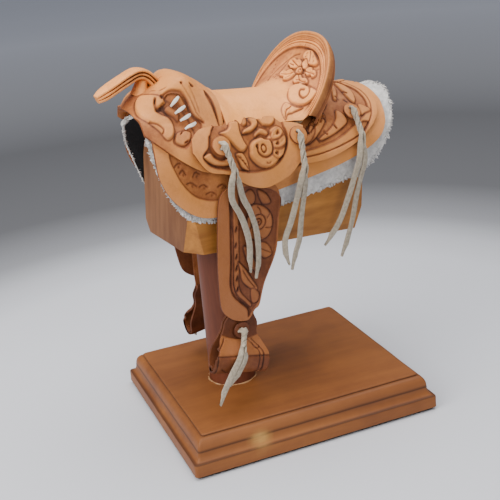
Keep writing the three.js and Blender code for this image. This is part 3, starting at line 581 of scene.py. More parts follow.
def slab(grid, thickness, stain_and_shade_values, inward, base=None):
    """Closed sheet: a fine outer face, rounded edges and a coarser inner face.

    grid is (rows, cols, 3) in the saddle frame; inward is +1 or -1 for which way the normal sinks; base
    is the same grid before tooling, from which the inner face is set off.
    """
    rows, cols = grid.shape[:2]
    sink = normals_of(grid) * inward
    ring = boundary(rows, cols)
    ri, rj = np.array(ring).T
    # outward direction in the sheet at the rim, for a rounded edge
    out = grid[ri, rj] - grid[np.clip(ri, 1, rows - 2), np.clip(rj, 1, cols - 2)]
    out /= np.maximum(np.linalg.norm(out, axis=-1, keepdims=True), 1e-9)
    points = [grid.reshape(-1, 3)]
    values = [stain_and_shade_values.reshape(-1)]
    faces = [grid_faces(rows, cols, flip=inward > 0)]
    count = rows * cols
    index = ri * cols + rj
    previous = index
    for depth, push in ((0.22, 0.16), (0.5, 0.24), (0.8, 0.16), (1.0, -0.04)):
        ring_points = grid[ri, rj] + sink[ri, rj] * thickness * depth + out * push
        points.append(ring_points)
        values.append(np.full(len(ring), EDGE_AGE))
        current = count + np.arange(len(ring))
        quads = np.stack([previous, current, np.roll(current, -1), np.roll(previous, -1)], -1)
        faces.append(quads if inward > 0 else quads[:, ::-1])
        previous = current
        count += len(ring)
    pick_i = np.unique(np.append(np.arange(0, rows, INNER_STRIDE), rows - 1))
    pick_j = np.unique(np.append(np.arange(0, cols, INNER_STRIDE), cols - 1))
    flat = grid if base is None else base
    inner = (flat + normals_of(flat) * inward * thickness)[np.ix_(pick_i, pick_j)]
    points.append(inner.reshape(-1, 3))
    values.append(np.full(inner.shape[0] * inner.shape[1], INNER_AGE))
    faces.append(grid_faces(len(pick_i), len(pick_j), count, flip=inward < 0))
    return np.concatenate(points), np.concatenate(faces).tolist(), np.concatenate(values)


# ---------------------------------------------------------------- tooling


def segment_distance(points, line, closed):
    """Distance from each point to a polyline."""
    a = line if closed else line[:-1]
    b = np.roll(line, -1, 0) if closed else line[1:]
    best = np.full(len(points), 1e9)
    for p, q in zip(a, b):
        d = q - p
        t = np.clip(((points - p) @ d) / max(d @ d, 1e-12), 0, 1)
        best = np.minimum(best, np.linalg.norm(points - p - t[:, None] * d, axis=1))
    return best


def within(points, line):
    """Even-odd test against a closed polyline."""
    x, y = points[:, 0], points[:, 1]
    inside = np.zeros(len(points), bool)
    for (x0, y0), (x1, y1) in zip(line, np.roll(line, -1, 0)):
        if y0 == y1:
            continue
        crosses = (y0 > y) != (y1 > y)
        at = x0 + (y - y0) * (x1 - x0) / (y1 - y0)
        inside ^= crosses & (x < at)
    return inside


RELIEF = 1.9
DEEPEST_CUT = -1.15


class Tooling:
    """Relief and darkening carved into a chart of (along, down) millimetres; the darkening in cuts and round
    raised shapes is partly antique stain and partly painted shade.
    """

    def __init__(self, chart):
        self.shape = chart.shape[:2]
        self.points = chart.reshape(-1, 2)
        self.height = np.zeros(len(self.points))
        self.stain_and_shade = np.zeros(len(self.points))

    def near(self, line, margin):
        """Indices of the chart's points in a line's box."""
        low, high = line.min(0) - margin, line.max(0) + margin
        return np.flatnonzero(((self.points >= low) & (self.points <= high)).all(1))

    def signed(self, outline, margin):
        """Nearby points and their distance inside a closed outline."""
        line = closed_curve(outline)
        index = self.near(line, margin)
        p = self.points[index]
        distance = segment_distance(p, line, True)
        return index, np.where(within(p, line), distance, -distance)

    def petal(self, outline, height=0.55, slope=0.9, dish=0.0, shade=0.7, tone=0.0):
        """Raised shape with a soft edge and a dark line round its foot; dish hollows its middle."""
        index, d = self.signed(outline, 2.2)
        rise = smooth(d, -0.1, slope)
        raised = np.where(d > -0.1, rise * height - dish * smooth(d, slope, 3 * slope), 0)
        self.height[index] = self.height[index] * (1 - rise) + raised
        self.stain_and_shade[index] = np.where(d > 0, lerp(self.stain_and_shade[index], tone, smooth(d, 0, 0.5)), self.stain_and_shade[index])
        # painted shade: darker just inside the shape's edge, fading to its middle, for the rounding of the
        # raised shape; the dark line round its foot is partly antique stain in the cut and partly painted
        # shade
        self.stain_and_shade[index] += 0.3 * np.exp(-np.maximum(d, 0) / 0.8) * (d > -0.1)
        self.stain_and_shade[index] += 0.6 * shade * np.exp(-(((d + 0.15) / 0.42) ** 2))

    def field(self, outline, depth=0.45, slope=0.5, tone=0.42, shade=0.5):
        """Sunk, darkened and matted ground."""
        index, d = self.signed(outline, 1.5)
        fall = smooth(d, 0, slope)
        self.height[index] -= depth * fall
        line = np.exp(-(((d - 0.15) / 0.5) ** 2))
        # the ground's tone is its stain; the dark line along its edge is partly antique stain and partly
        # painted shade
        self.stain_and_shade[index] += 1.1 * tone * smooth(d, -0.1, 0.5) + 0.8 * shade * line

    def groove(self, line, width=0.35, depth=0.35, shade=0.7, closed=False):
        """Pressed line."""
        line = closed_curve(line) if closed else open_curve(line)
        index = self.near(line, 4 * width)
        d = segment_distance(self.points[index], line, closed)
        self.height[index] -= depth * np.exp(-((d / width) ** 2))
        # the line's darkening is partly antique stain in the cut and partly painted shade
        self.stain_and_shade[index] += 0.85 * shade * np.exp(-((d / (1.1 * width)) ** 2))

    def dot(self, centre, radius=0.4, depth=0.4, shade=0.8):
        """Pressed round mark."""
        index = self.near(np.array([centre], float), 3 * radius)
        d = np.linalg.norm(self.points[index] - np.array(centre), axis=1)
        self.height[index] -= depth * np.exp(-((d / radius) ** 4))
        self.stain_and_shade[index] += shade * np.exp(-((d / (1.2 * radius)) ** 2))

    def ring(self, centre, radius, **more):
        """Pressed circle."""
        a = np.linspace(0, 2 * math.pi, 14, endpoint=False)
        self.groove(np.stack([centre[0] + radius * np.cos(a), centre[1] + radius * np.sin(a)], -1),
                    closed=True, **more)

    def arc(self, centre, radius, start, end, **more):
        """Pressed part of a circle, with its ends in degrees."""
        a = np.radians(np.linspace(start, end, 7))
        self.groove(np.stack([centre[0] + radius * np.cos(a), centre[1] + radius * np.sin(a)], -1), **more)

    def crease(self, distance, at, width=0.35, depth=0.35, shade=0.7, weight=1.0):
        """Groove where a distance over the chart equals a value."""
        d = (distance.reshape(-1) - at) / width
        self.height -= depth * np.exp(-(d**2)) * weight
        self.stain_and_shade += shade * np.exp(-((d / 1.25) ** 2)) * weight

    def slit(self, centre, length=1.6, turn=90.0, width=0.3, depth=0.5, shade=0.95):
        """Short swelling knife cut."""
        index = self.near(np.array([centre], float), length)
        d = self.points[index] - np.array(centre, float)
        c, s = math.cos(math.radians(turn)), math.sin(math.radians(turn))
        along, across = d[:, 0] * c + d[:, 1] * s, d[:, 1] * c - d[:, 0] * s
        reach = np.exp(-((along / (0.5 * length)) ** 4))
        cut = np.exp(-((across / (width * (1.2 - np.clip(along / length, -0.5, 0.5)))) ** 2)) * reach
        self.height[index] -= depth * cut
        self.stain_and_shade[index] += shade * cut

    def matting(self, amount=0.08, cell=0.55):
        """Fine background stamping where the ground is sunk."""
        sunk = smooth(-self.height, 0.15, 0.4)
        wave = np.sin(self.points[:, 0] / cell * 3.1) * np.sin(self.points[:, 1] / cell * 3.1)
        self.height += amount * wave * sunk

    def result(self):
        """Height and darkening over the chart, with the relief scaled up to its real depth."""
        height = np.maximum(RELIEF * self.height, DEEPEST_CUT)
        return height.reshape(self.shape), np.clip(self.stain_and_shade, 0, 1).reshape(self.shape)


# ---------------------------------------------------------------- stand

ROOT = "saddle_on_stand"


def rounded_rectangle(half_x, half_y, corner, steps=5):
    ring = []
    for k, (sx, sy) in enumerate(((1, 1), (-1, 1), (-1, -1), (1, -1))):
        for i in range(steps + 1):
            a = (k + i / steps) * math.pi / 2
            ring.append((sx * (half_x - corner) + corner * math.cos(a),
                         sy * (half_y - corner) + corner * math.sin(a)))
    return np.array(ring)


def subdivided(ring, longest):
    """Extra points on the long straight sides, so that the edge can be worn unevenly."""
    points = []
    for a, b in zip(ring, np.roll(ring, -1, 0)):
        parts = max(1, int(np.linalg.norm(b - a) / longest))
        points += [lerp(a, b, k / parts) for k in range(parts)]
    return np.array(points)


def loft(rings, cap=True):
    """Faces of a stack of equal closed rings (rings, points, 3)."""
    rings = np.asarray(rings)
    n, m = rings.shape[:2]
    i, j = np.meshgrid(np.arange(n - 1), np.arange(m), indexing="ij")
    k = (j + 1) % m
    faces = np.stack([i * m + j, i * m + k, (i + 1) * m + k, (i + 1) * m + j], -1).reshape(-1, 4).tolist()
    if cap:
        faces.append(list(range(m))[::-1])
        faces.append(list(range((n - 1) * m, n * m)))
    return rings.reshape(-1, 3), faces


def wobble(points, amount, scale, seed=0.0):
    """Smooth pseudo-random offset, a sum of sines, for hand-made unevenness."""
    p = np.asarray(points, float) / scale + seed
    x, y, z = p[..., 0], p[..., 1], p[..., 2]
    wave = np.sin(1.7 * x + 2.1 * y + 0.6) + np.sin(2.3 * y - 1.9 * z + 1.7) + np.sin(2.9 * z + 1.3 * x - 0.4)
    wave += 0.5 * np.sin(4.7 * x - 3.1 * y + 2.2) * np.sin(3.7 * z + 4.1 * y)
    return amount * wave / 3.0


def build_plaque():
    profile = [(0.5, 1.5), (0, 2.0), (0, 8.6), (0.25, 9.2), (0.9, 9.45)]
    for i in range(1, 9):
        a = i / 8 * math.pi / 2
        profile.append((lerp(0.9, 3.8, math.sin(a)), lerp(13.9, 9.45, math.cos(a))))
    profile += [(3.8, 14.6), (3.95, 15.0)]
    for i in range(1, 10):
        a = i / 9 * math.pi / 2
        profile.append((lerp(8.2, 3.95, math.cos(a)), lerp(15.1, 21.2, math.sin(a))))
    profile += [(8.3, 21.5), (8.35, 22.2), (8.75, 22.55), (9.6, PLAQUE_TOP)]
    outline = subdivided(rounded_rectangle(65.8, 76.3, 1.6), 3.0)
    rings = []
    for inset, z in profile:
        ring = outline * np.array([1 - inset / 65.8, 1 - inset / 76.3])
        points = np.column_stack([ring, np.full(len(ring), z)])
        shift = wobble(points, 0.12, 9.0)[:, None]
        rings.append(points + shift * np.array([1, 1, 0]) * np.sign(points))
    points, faces = loft(rings)
    # painted shade: darker in the moulding's coves and near the plaque's foot
    creases = ((9.3, 0.35, 0.8), (14.7, 0.5, 0.85), (21.6, 0.4, 0.9), (0.9, 0.5, 0.5))
    stain_and_shade_values = sum(dark * np.exp(-(((points[:, 2] - z) / width) ** 2)) for z, width, dark in creases)
    plaque = make_object("plaque", points * MM, faces, plaque_wood, ROOT, stain_and_shade_values, sharp=26)
    reach = (points - np.array([62, -36, 13])) / np.array([6, 5.5, 4.0])
    set_values(plaque, "wear", np.exp(-((reach**2).sum(1) ** 1.5)))
    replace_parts(plaque, "stand_base")
    pad = subdivided(rounded_rectangle(64.2, 74.7, 1.6), 1.2)
    layers = []
    for z, grow in ((0.0, -0.3), (0.25, 0.1), (0.7, 0.2), (1.2, 0.0)):
        ring = np.column_stack([pad, np.full(len(pad), z)])
        ring[:, :2] += np.sign(ring[:, :2]) * (grow + rng.normal(0, 0.12, (len(ring), 1)))
        layers.append(ring)
    points, faces = loft(layers)
    felt = make_object("felt_pad", points * MM, faces, black_felt_and_shade, ROOT)
    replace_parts(felt, "stand_felt")


def build_post():
    rings = []
    for z in np.linspace(12.8, 121.8, 60):
        a = np.linspace(0, 2 * math.pi, 64, endpoint=False)
        r = POST_RADIUS - 0.05 + 0.07 * np.sin(2 * a + z / 31) + 0.05 * np.sin(5 * a - z / 17)
        rings.append(np.stack([r * np.cos(a), POST_Y + r * np.sin(a), np.full(64, z)], -1))
    points, faces = loft(rings)
    post = make_object("post", points * MM, faces, post_wood, ROOT)
    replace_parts(post, "stand_post")
    # squeezed-out glue round the foot, uneven in height and width
    a = np.linspace(0, 2 * math.pi, 160, endpoint=False)
    lump = 0.55 + 0.35 * np.sin(3 * a + 0.7) * np.sin(7 * a) + rng.normal(0, 0.09, len(a))
    lump = np.clip(lump, 0.12, 1.1)
    section = []
    for grow, z in ((0.15, 0.0), (0.55, 0.75), (1.0, 0.55), (1.25, 0.0)):
        r = POST_RADIUS + 0.05 + lump * grow * 1.5
        section.append(np.stack([r * np.cos(a), POST_Y + r * np.sin(a), PLAQUE_TOP - 0.05 + z * lump], -1))
    rows = np.stack(section, 1)
    faces = grid_faces(len(a), 4, wrap=True, flip=True)
    make_object("post_glue", rows.reshape(-1, 3) * MM, faces, glue, ROOT)


def build_block():
    steps = 40
    outline = [(-BLOCK_HALF, BLOCK_BOTTOM + 7), (-BLOCK_HALF + 6, BLOCK_BOTTOM), (BLOCK_HALF, BLOCK_BOTTOM)]
    for i in range(steps + 1):
        a = i / steps * math.pi
        outline.append((BLOCK_HALF * math.cos(a), ARCH_Z + BLOCK_HALF * math.sin(a)))
    mesh = bmesh.new()
    front = [mesh.verts.new((x, BLOCK_FRONT, z)) for x, z in outline]
    back = [mesh.verts.new((x, BLOCK_REAR, z)) for x, z in outline]
    mesh.faces.new(front)
    mesh.faces.new(back[::-1])
    for i in range(len(front)):
        k = (i + 1) % len(front)
        mesh.faces.new((front[i], back[i], back[k], front[k]))
    cuts = (((BLOCK_HALF, BLOCK_FRONT + 8, BLOCK_BOTTOM), (3.2, -4, -1)),
            ((0, BLOCK_REAR, BLOCK_BOTTOM + 13), (0, 13, -4.5)))
    for point, normal in cuts:
        geometry = mesh.verts[:] + mesh.edges[:] + mesh.faces[:]
        cut = bmesh.ops.bisect_plane(mesh, geom=geometry, plane_co=point, plane_no=normal, clear_outer=True)
        edges = [e for e in cut["geom_cut"] if isinstance(e, bmesh.types.BMEdge)]
        bmesh.ops.holes_fill(mesh, edges=edges)
    bmesh.ops.recalc_face_normals(mesh, faces=mesh.faces)
    sharp = [e for e in mesh.edges if len(e.link_faces) == 2 and e.calc_face_angle(0) > math.radians(20)]
    bmesh.ops.bevel(mesh, geom=sharp, offset=0.5, segments=2, affect="EDGES", profile=0.6)
    points = np.array([v.co for v in mesh.verts])
    faces = [[v.index for v in f.verts] for f in mesh.faces]
    mesh.free()
    ends = [int(np.ptp(points[f][:, 1]) < 0.3) for f in faces]
    block = make_object("block", to_world(points), faces, None, ROOT, sharp=25,
                        materials=[block_wood, end_grain],
                        slots=ends)
    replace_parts(block, "stand_block")


build_plaque()
build_post()
build_block()
for node, material in (("tree_fork", tree_wood), ("tree_cantle", tree_wood), ("tree_bar_left", tree_wood),
                       ("tree_bar_right", tree_wood), ("ground_seat", edge_leather), ("base_screw", steel),
                       ("block_screw", steel)):
    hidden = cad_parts[node]
    hidden.data.materials.clear()
    hidden.data.materials.append(material)

# ---------------------------------------------------------------- leathers over the form


def chart_of(panel, rows, cols):
    """(rows, cols, 2) chart of (y, s) between a panel's two edges; columns run down."""
    upper, lower = PANELS[panel]
    u = np.linspace(0, 1, rows)
    v = np.linspace(0, 1, cols)[None, :, None]
    return lerp(upper(u)[:, None], lower(u)[:, None], v)


def form_leather(panel, side_name, side, heights, rows, cols, tool, thickness=LEATHER):
    """A panel over the form with its tooling, at heights for its upper and its lower edge."""
    chart = chart_of(panel, rows, cols)
    tooling = Tooling(chart)
    tool(tooling)
    height, stain_and_shade = tooling.result()
    level = lerp(*heights, np.linspace(0, 1, cols)[None, :])
    base = form(chart[..., 0], chart[..., 1], level)
    grid = form(chart[..., 0], chart[..., 1], level + height)
    points, faces, values = slab(grid, thickness, stain_and_shade, 1, base)
    piece = make_object(f"{panel}_{side_name}", to_world(to_side(points, side)), facing(faces, side), leather,
                        ROOT, values)
    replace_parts(piece, f"{panel}_{side_name}")


def tool_skirt(t):
    """Smooth border band; darker ground inside it with a few crescent stamps at the front."""
    line = [(-71, 30), (-72, 33.5), (-72.5, 38), (-71, 42), (-68, 47), (-63.5, 52.5), (-59, 56), (-54, 57.8),
            (-46, 58.5), (-30, 55), (-12, 49), (7, 44.5), (24.5, 43), (38.5, 40.5), (47, 37.5), (56, 30.5),
            (60, 25), (62.5, 19), (63, 11.5), (62, 0)]
    t.field([*line, (40, -4), (-40, -4), (-66, 14)], depth=0.3, slope=0.7, tone=0.36, shade=0.55)
    for arc in ([(-70, 41), (-68, 39.5), (-66.5, 39.5)], [(-67.5, 44), (-65.7, 42.6), (-64, 44.5)],
                [(-63.5, 49), (-61, 48.5), (-58, 50.5)], [(-60, 45.5), (-58.4, 43.6), (-56.3, 44.4)],
                [(-52.5, 55), (-49.5, 54), (-46.5, 55.5)], [(-56.5, 51), (-54, 49.8), (-51.5, 51.2)],
                [(-45.5, 51.5), (-43, 50.4), (-40.5, 52)]):
        t.groove(arc, width=0.4, depth=0.35, shade=0.5)
        t.dot(np.mean(arc, 0) + np.array([0.5, 1.0]), radius=0.6, depth=0.25, shade=0.3)
    t.matting(0.06)


def tool_rear_jockey(t):
    """Doubled rim, leaf stems on a matted ground, comma stamps and a pointed leaf behind the concho."""
    rim_line = [(4, 41.5), (17, 41), (27.5, 39.7), (38, 37.7), (46, 35.5), (52, 32), (57, 27), (59.3, 20.5),
                (58.7, 14), (56.3, 7.5), (54.5, 0)]
    inner = [(3, 38.7), (12.5, 38.5), (17.5, 38), (28, 36.5), (36, 34), (43.5, 31), (49.5, 28.5),
             (55.5, 24.5),
             (57, 19), (56, 12), (53.5, 6), (51, -1)]
    t.field([*inner, (30, -3), (20, 10), (10, 30)], depth=0.5, slope=0.5, tone=0.34, shade=0.7)
    t.groove(rim_line, width=0.4, depth=0.4, shade=0.75)
    t.petal([(50.5, 1), (52.5, 7), (52.8, 13), (51.5, 18), (49, 20.5), (46.8, 17), (46.8, 11), (48, 5)], 0.15)
    t.petal([(47, 2), (45.5, 8), (42.5, 13), (39, 17), (37.5, 15.5), (40, 11), (43, 6), (44, 1)], 0.1,
            tone=0.12)
    t.petal([(40, 3), (38.5, 9), (34, 15), (29, 20.5), (27, 19.5), (30.5, 14), (34.5, 8), (36, 2)], 0.05,
            tone=0.15)
    t.petal([(35, 22), (39, 25), (39.5, 29), (35, 31.5), (28, 33.8), (20, 35.5), (19, 34), (26, 31),
             (32, 27)], 0.1,
            tone=0.1)
    t.petal([(27, 23.5), (24.5, 28), (18, 33), (12, 36), (9, 35.5), (14, 31), (20, 26), (24.5, 22)], 0.05,
            tone=0.15)
    t.petal([(5, 35), (11, 32), (15, 27.5), (17, 30), (13, 34.5), (6, 37)], 0.1, tone=0.15)
    for line in ([(8, 31.5), (13, 28.5), (18, 25.5)], [(14, 31), (19, 27.5), (24, 23)],
                 [(22, 27), (26.5, 22.5), (29, 17)],
                 [(27, 19.5), (30, 15), (31.5, 9)]):
        t.groove(line, width=0.45, depth=0.4, shade=0.7)
    for centre in ((30.5, 30), (23.5, 32), (18, 34.8), (40.5, 15), (45, 17.5), (47.8, 12.5), (12, 30.4),
                   (20.5, 24),
                   (25.5, 26)):
        t.slit(centre, 2.4, 60, 0.45, 0.5)
        t.dot((centre[0] + 0.5, centre[1] + 0.9), 0.45, 0.45)
    t.petal([(50.5, 21.3), (54, 22.2), (57, 25.5), (53, 26.6), (49.8, 27)], 0.15, slope=0.7)
    t.field([(48, 30.3), (53.3, 30.8), (50, 34), (45.8, 36.6)], depth=0.4, tone=0.3, shade=0.7)
    t.matting(0.07)


def tool_seat_jockey(t):
    """Smooth band round a sunk ground with a spiral rose, a bell flower, leaves and petals."""
    t.field([(-49.5, 29.5), (-52, 34), (-56, 37.3), (-55, 39.7), (-51, 41.7), (-44, 42.8), (-37, 43.6),
             (-30, 44.4),
             (-22, 44.4), (-15.5, 43.2), (-10, 40.8), (-5.5, 36.3), (-3.5, 32), (-4, 27.5), (-5, 23),
             (-20, 22),
             (-40, 22), (-47, 26.5)], depth=0.6, slope=0.5, tone=0.36, shade=0.8)
    t.petal([(-56, 37.5), (-51, 36), (-48.5, 38), (-45.5, 38.8), (-41.5, 38.5), (-38.5, 39.5), (-40.5, 41.3),
             (-44.5, 41.6), (-49.5, 41.2), (-53.5, 39.7)], 0.1, shade=0.85)
    t.petal([(-35.8, 24), (-30.5, 24), (-31, 28.5), (-30.3, 32), (-29, 34.8), (-32.6, 37), (-36, 35.3),
             (-38.5, 32.8), (-41, 30.3), (-43.5, 28.6), (-39, 27.3), (-37, 26)], 0.25, slope=1.3, shade=0.8)
    t.petal([(-30.3, 29.7), (-25, 29.3), (-20.5, 27.3), (-18.8, 25.3), (-20, 23), (-24, 23), (-23.2, 25.6),
             (-26, 26.8), (-29, 27.8)], 0.2, shade=0.85)
    t.petal([(-29.5, 22), (-28.5, 26.3), (-25.5, 25.6), (-25, 22)], 0.0, tone=0.2, shade=0.5)
    t.petal([(-18.3, 23), (-17, 26.3), (-14.8, 27.2), (-11.5, 27.2), (-8.5, 25.5), (-8.5, 22.5)], 0.2)
    t.groove([(-18.5, 27), (-15, 27.8), (-13.8, 30), (-14.6, 32.4)], width=0.4, depth=0.3, shade=0.7)
    t.petal([(-18, 27.6), (-15.6, 28.6), (-14.6, 30.2), (-16, 31.2), (-20, 30.4), (-23, 31.6), (-23.6, 30),
             (-20, 28)],
            -0.1, tone=0.12, shade=0.4)
    t.petal([(-28.5, 36.8), (-27.3, 33.7), (-24.2, 32), (-20, 31.3), (-16.8, 31.8), (-14, 30.2),
             (-12.8, 28.4),
             (-8.5, 27.2), (-5.6, 28.8), (-4.6, 32.6), (-6.2, 36.8), (-10, 40.4), (-14, 42.8), (-18.5, 43.8),
             (-23, 43), (-26.6, 41), (-28.6, 38.8)], 0.4, slope=1.5, shade=0.95)
    for outline in ([(-14.2, 31.6), (-12, 29.4), (-7.5, 28.2), (-6.2, 30.4), (-9.5, 32.6), (-13.5, 33)],
                    [(-13.9, 33.6), (-9.8, 33), (-5.9, 31.6), (-5.8, 34.6), (-9.8, 36.2), (-13.8, 36)],
                    [(-14.2, 36.6), (-10, 36.9), (-7, 36.2), (-8.3, 39), (-11.6, 40.4), (-15, 38.8)]):
        t.petal(outline, 0.45, slope=0.8, dish=0.25, shade=0.65)
    t.groove([(-23.2, 34.6), (-23.7, 37), (-21.6, 38.8), (-18.5, 39.3), (-15.5, 38.2), (-14.3, 35.6),
              (-15, 33),
              (-18, 31.9)], width=0.5, depth=0.5, shade=0.95)
    t.slit((-23.8, 35.2), 1.8, 60, 0.45, 0.5)
    t.ring((-20, 36), 1.45, width=0.36, depth=0.5, shade=1.0)
    for centre, turn in (((-9.4, 30.6), 150), ((-11, 34.6), 170), ((-12.4, 38.2), 190)):
        t.slit(centre, 2.2, turn, 0.5, 0.6)
    t.arc((-18, 39.5), 2.2, 55, 125, width=0.35, depth=0.3, shade=0.5)
    t.petal([(-36.8, 37.2), (-33, 36.8), (-31, 39), (-30.2, 41.5), (-30, 44), (-34, 42.8), (-35.8, 40.2)],
            0.15,
            slope=0.7, shade=0.85)
    t.groove([(-36, 38), (-33.2, 40.2), (-30.6, 43)], width=0.3, depth=0.3, shade=0.6)
    for k in range(3):
        t.slit((-34.4 + 1.2 * k, 38.6 + 1.2 * k), 1.2, 20, 0.22, 0.3, 0.6)
    t.groove([(-50, 30.5), (-51.2, 34.5), (-49.8, 37.5), (-45, 38.9), (-41.5, 37.3)], width=0.7, depth=0.4,
             shade=0.9)
    t.matting(0.07)


def tool_fork(t):
    """Leaf lobe over the lip, sunk panel with an arched rim, a teardrop cut and small slits."""
    # painted shade: darker towards the front, where the cover turns down over the gullet lip
    t.stain_and_shade += 0.42 * smooth(-t.points[:, 0], 64, 76)
    t.field([(-66.5, 19.5), (-64.5, 19.8), (-61.7, 22), (-58.7, 25), (-56.8, 29.7), (-55.6, 34.3),
             (-53.8, 38.3),
             (-50.5, 40), (-50.5, 42.5), (-51.5, 45), (-55, 47.5), (-58, 50), (-60.5, 51.8), (-63, 51.8),
             (-67, 48), (-69.5, 44), (-66.5, 39.5), (-66.5, 33.5), (-69.5, 28), (-71.5, 24), (-69, 21.5)],
            depth=0.7, slope=0.7, tone=0.42, shade=0.6)
    t.groove([(-69, 19.5), (-67, 18.3), (-64.3, 18.8), (-61.3, 21.3), (-58.3, 24.3), (-56.3, 29.3),
              (-55.2, 34),
              (-53.3, 38), (-49, 39.3)], width=0.75, depth=0.6, shade=0.95)
    t.groove([(-57.5, 18.5), (-55.3, 24.5), (-53.2, 30), (-51.7, 35.5), (-49.5, 37.6)], width=0.45,
             depth=0.22,
             shade=0.4)
    t.groove([(-53, 21.5), (-51.2, 28), (-50, 34.5)], width=0.5, depth=0.15, shade=0.28)
    t.petal([(-80, 9.5), (-82.3, 15.5), (-82.3, 23), (-78.6, 29.7), (-75.5, 35), (-73, 41), (-70, 42.3),
             (-67.3, 40.3), (-66.2, 35.8), (-67.8, 31), (-71.2, 27), (-73, 23.6), (-70, 23.4), (-67.3, 22.6),
             (-69, 18), (-72.5, 12), (-76, 8)], 0.55, slope=1.6, shade=0.95)
    t.groove([(-79, 28), (-75.2, 31.5), (-73, 35.2), (-73.8, 37)], width=0.5, depth=0.4, shade=0.8)
    t.groove([(-71.5, 17.5), (-73, 21), (-72.5, 24.2), (-69, 24.8)], width=0.6, depth=0.4, shade=0.8)
    t.petal([(-66.5, 25), (-63.5, 29), (-61.5, 33.5), (-63, 36.5), (-64.8, 33), (-67.5, 29.2), (-69, 26)],
            -0.2,
            tone=0.4, shade=0.6)
    t.petal([(-65.5, 41), (-61, 42.5), (-57.5, 45.5), (-59, 49.5), (-63, 50.3), (-66.5, 47.5), (-68, 44)],
            -0.1,
            tone=0.22, shade=0.6)
    t.petal([(-59.5, 24.5), (-57.5, 29.5), (-56.2, 34), (-57.6, 34.6), (-60.2, 30.5), (-62.6, 26.6),
             (-62, 24)], -0.25,
            tone=0.3, shade=0.4)
    t.groove([(-68.5, 17.5), (-66.5, 22.5), (-63, 28), (-59.7, 33), (-57.5, 38), (-56, 42.5), (-55.3, 47)],
             width=0.4, depth=0.5, shade=0.95)
    t.slit((-62.5, 42.8), 3.2, 160, 0.35)
    t.slit((-61.7, 49), 2.8, 190, 0.35)
    t.slit((-72.5, 18.8), 3.0, 120, 0.3)
    t.slit((-63, 2.5), 3.2, 10, 0.25)
    t.slit((-66.3, 14.8), 4.0, 25, 0.3, 0.35, 0.7)
    t.slit((-70, 10.5), 3.6, 60, 0.3, 0.3, 0.6)
    t.dot((-57, 19), 0.55, 0.5, 0.9)
    t.dot((-51.5, 20.5), 0.75, 0.6, 1.0)
    t.slit((-51.5, 19.9), 2.6, 40, 0.35)
    t.field([(-44.2, 19.5), (-42.3, 21.5), (-40.9, 25.5), (-40.2, 32), (-40.4, 38.6), (-41.3, 33),
             (-42.6, 27.5),
             (-44.4, 23)], depth=0.6, slope=0.5, tone=0.5, shade=0.7)
    t.matting(0.07)


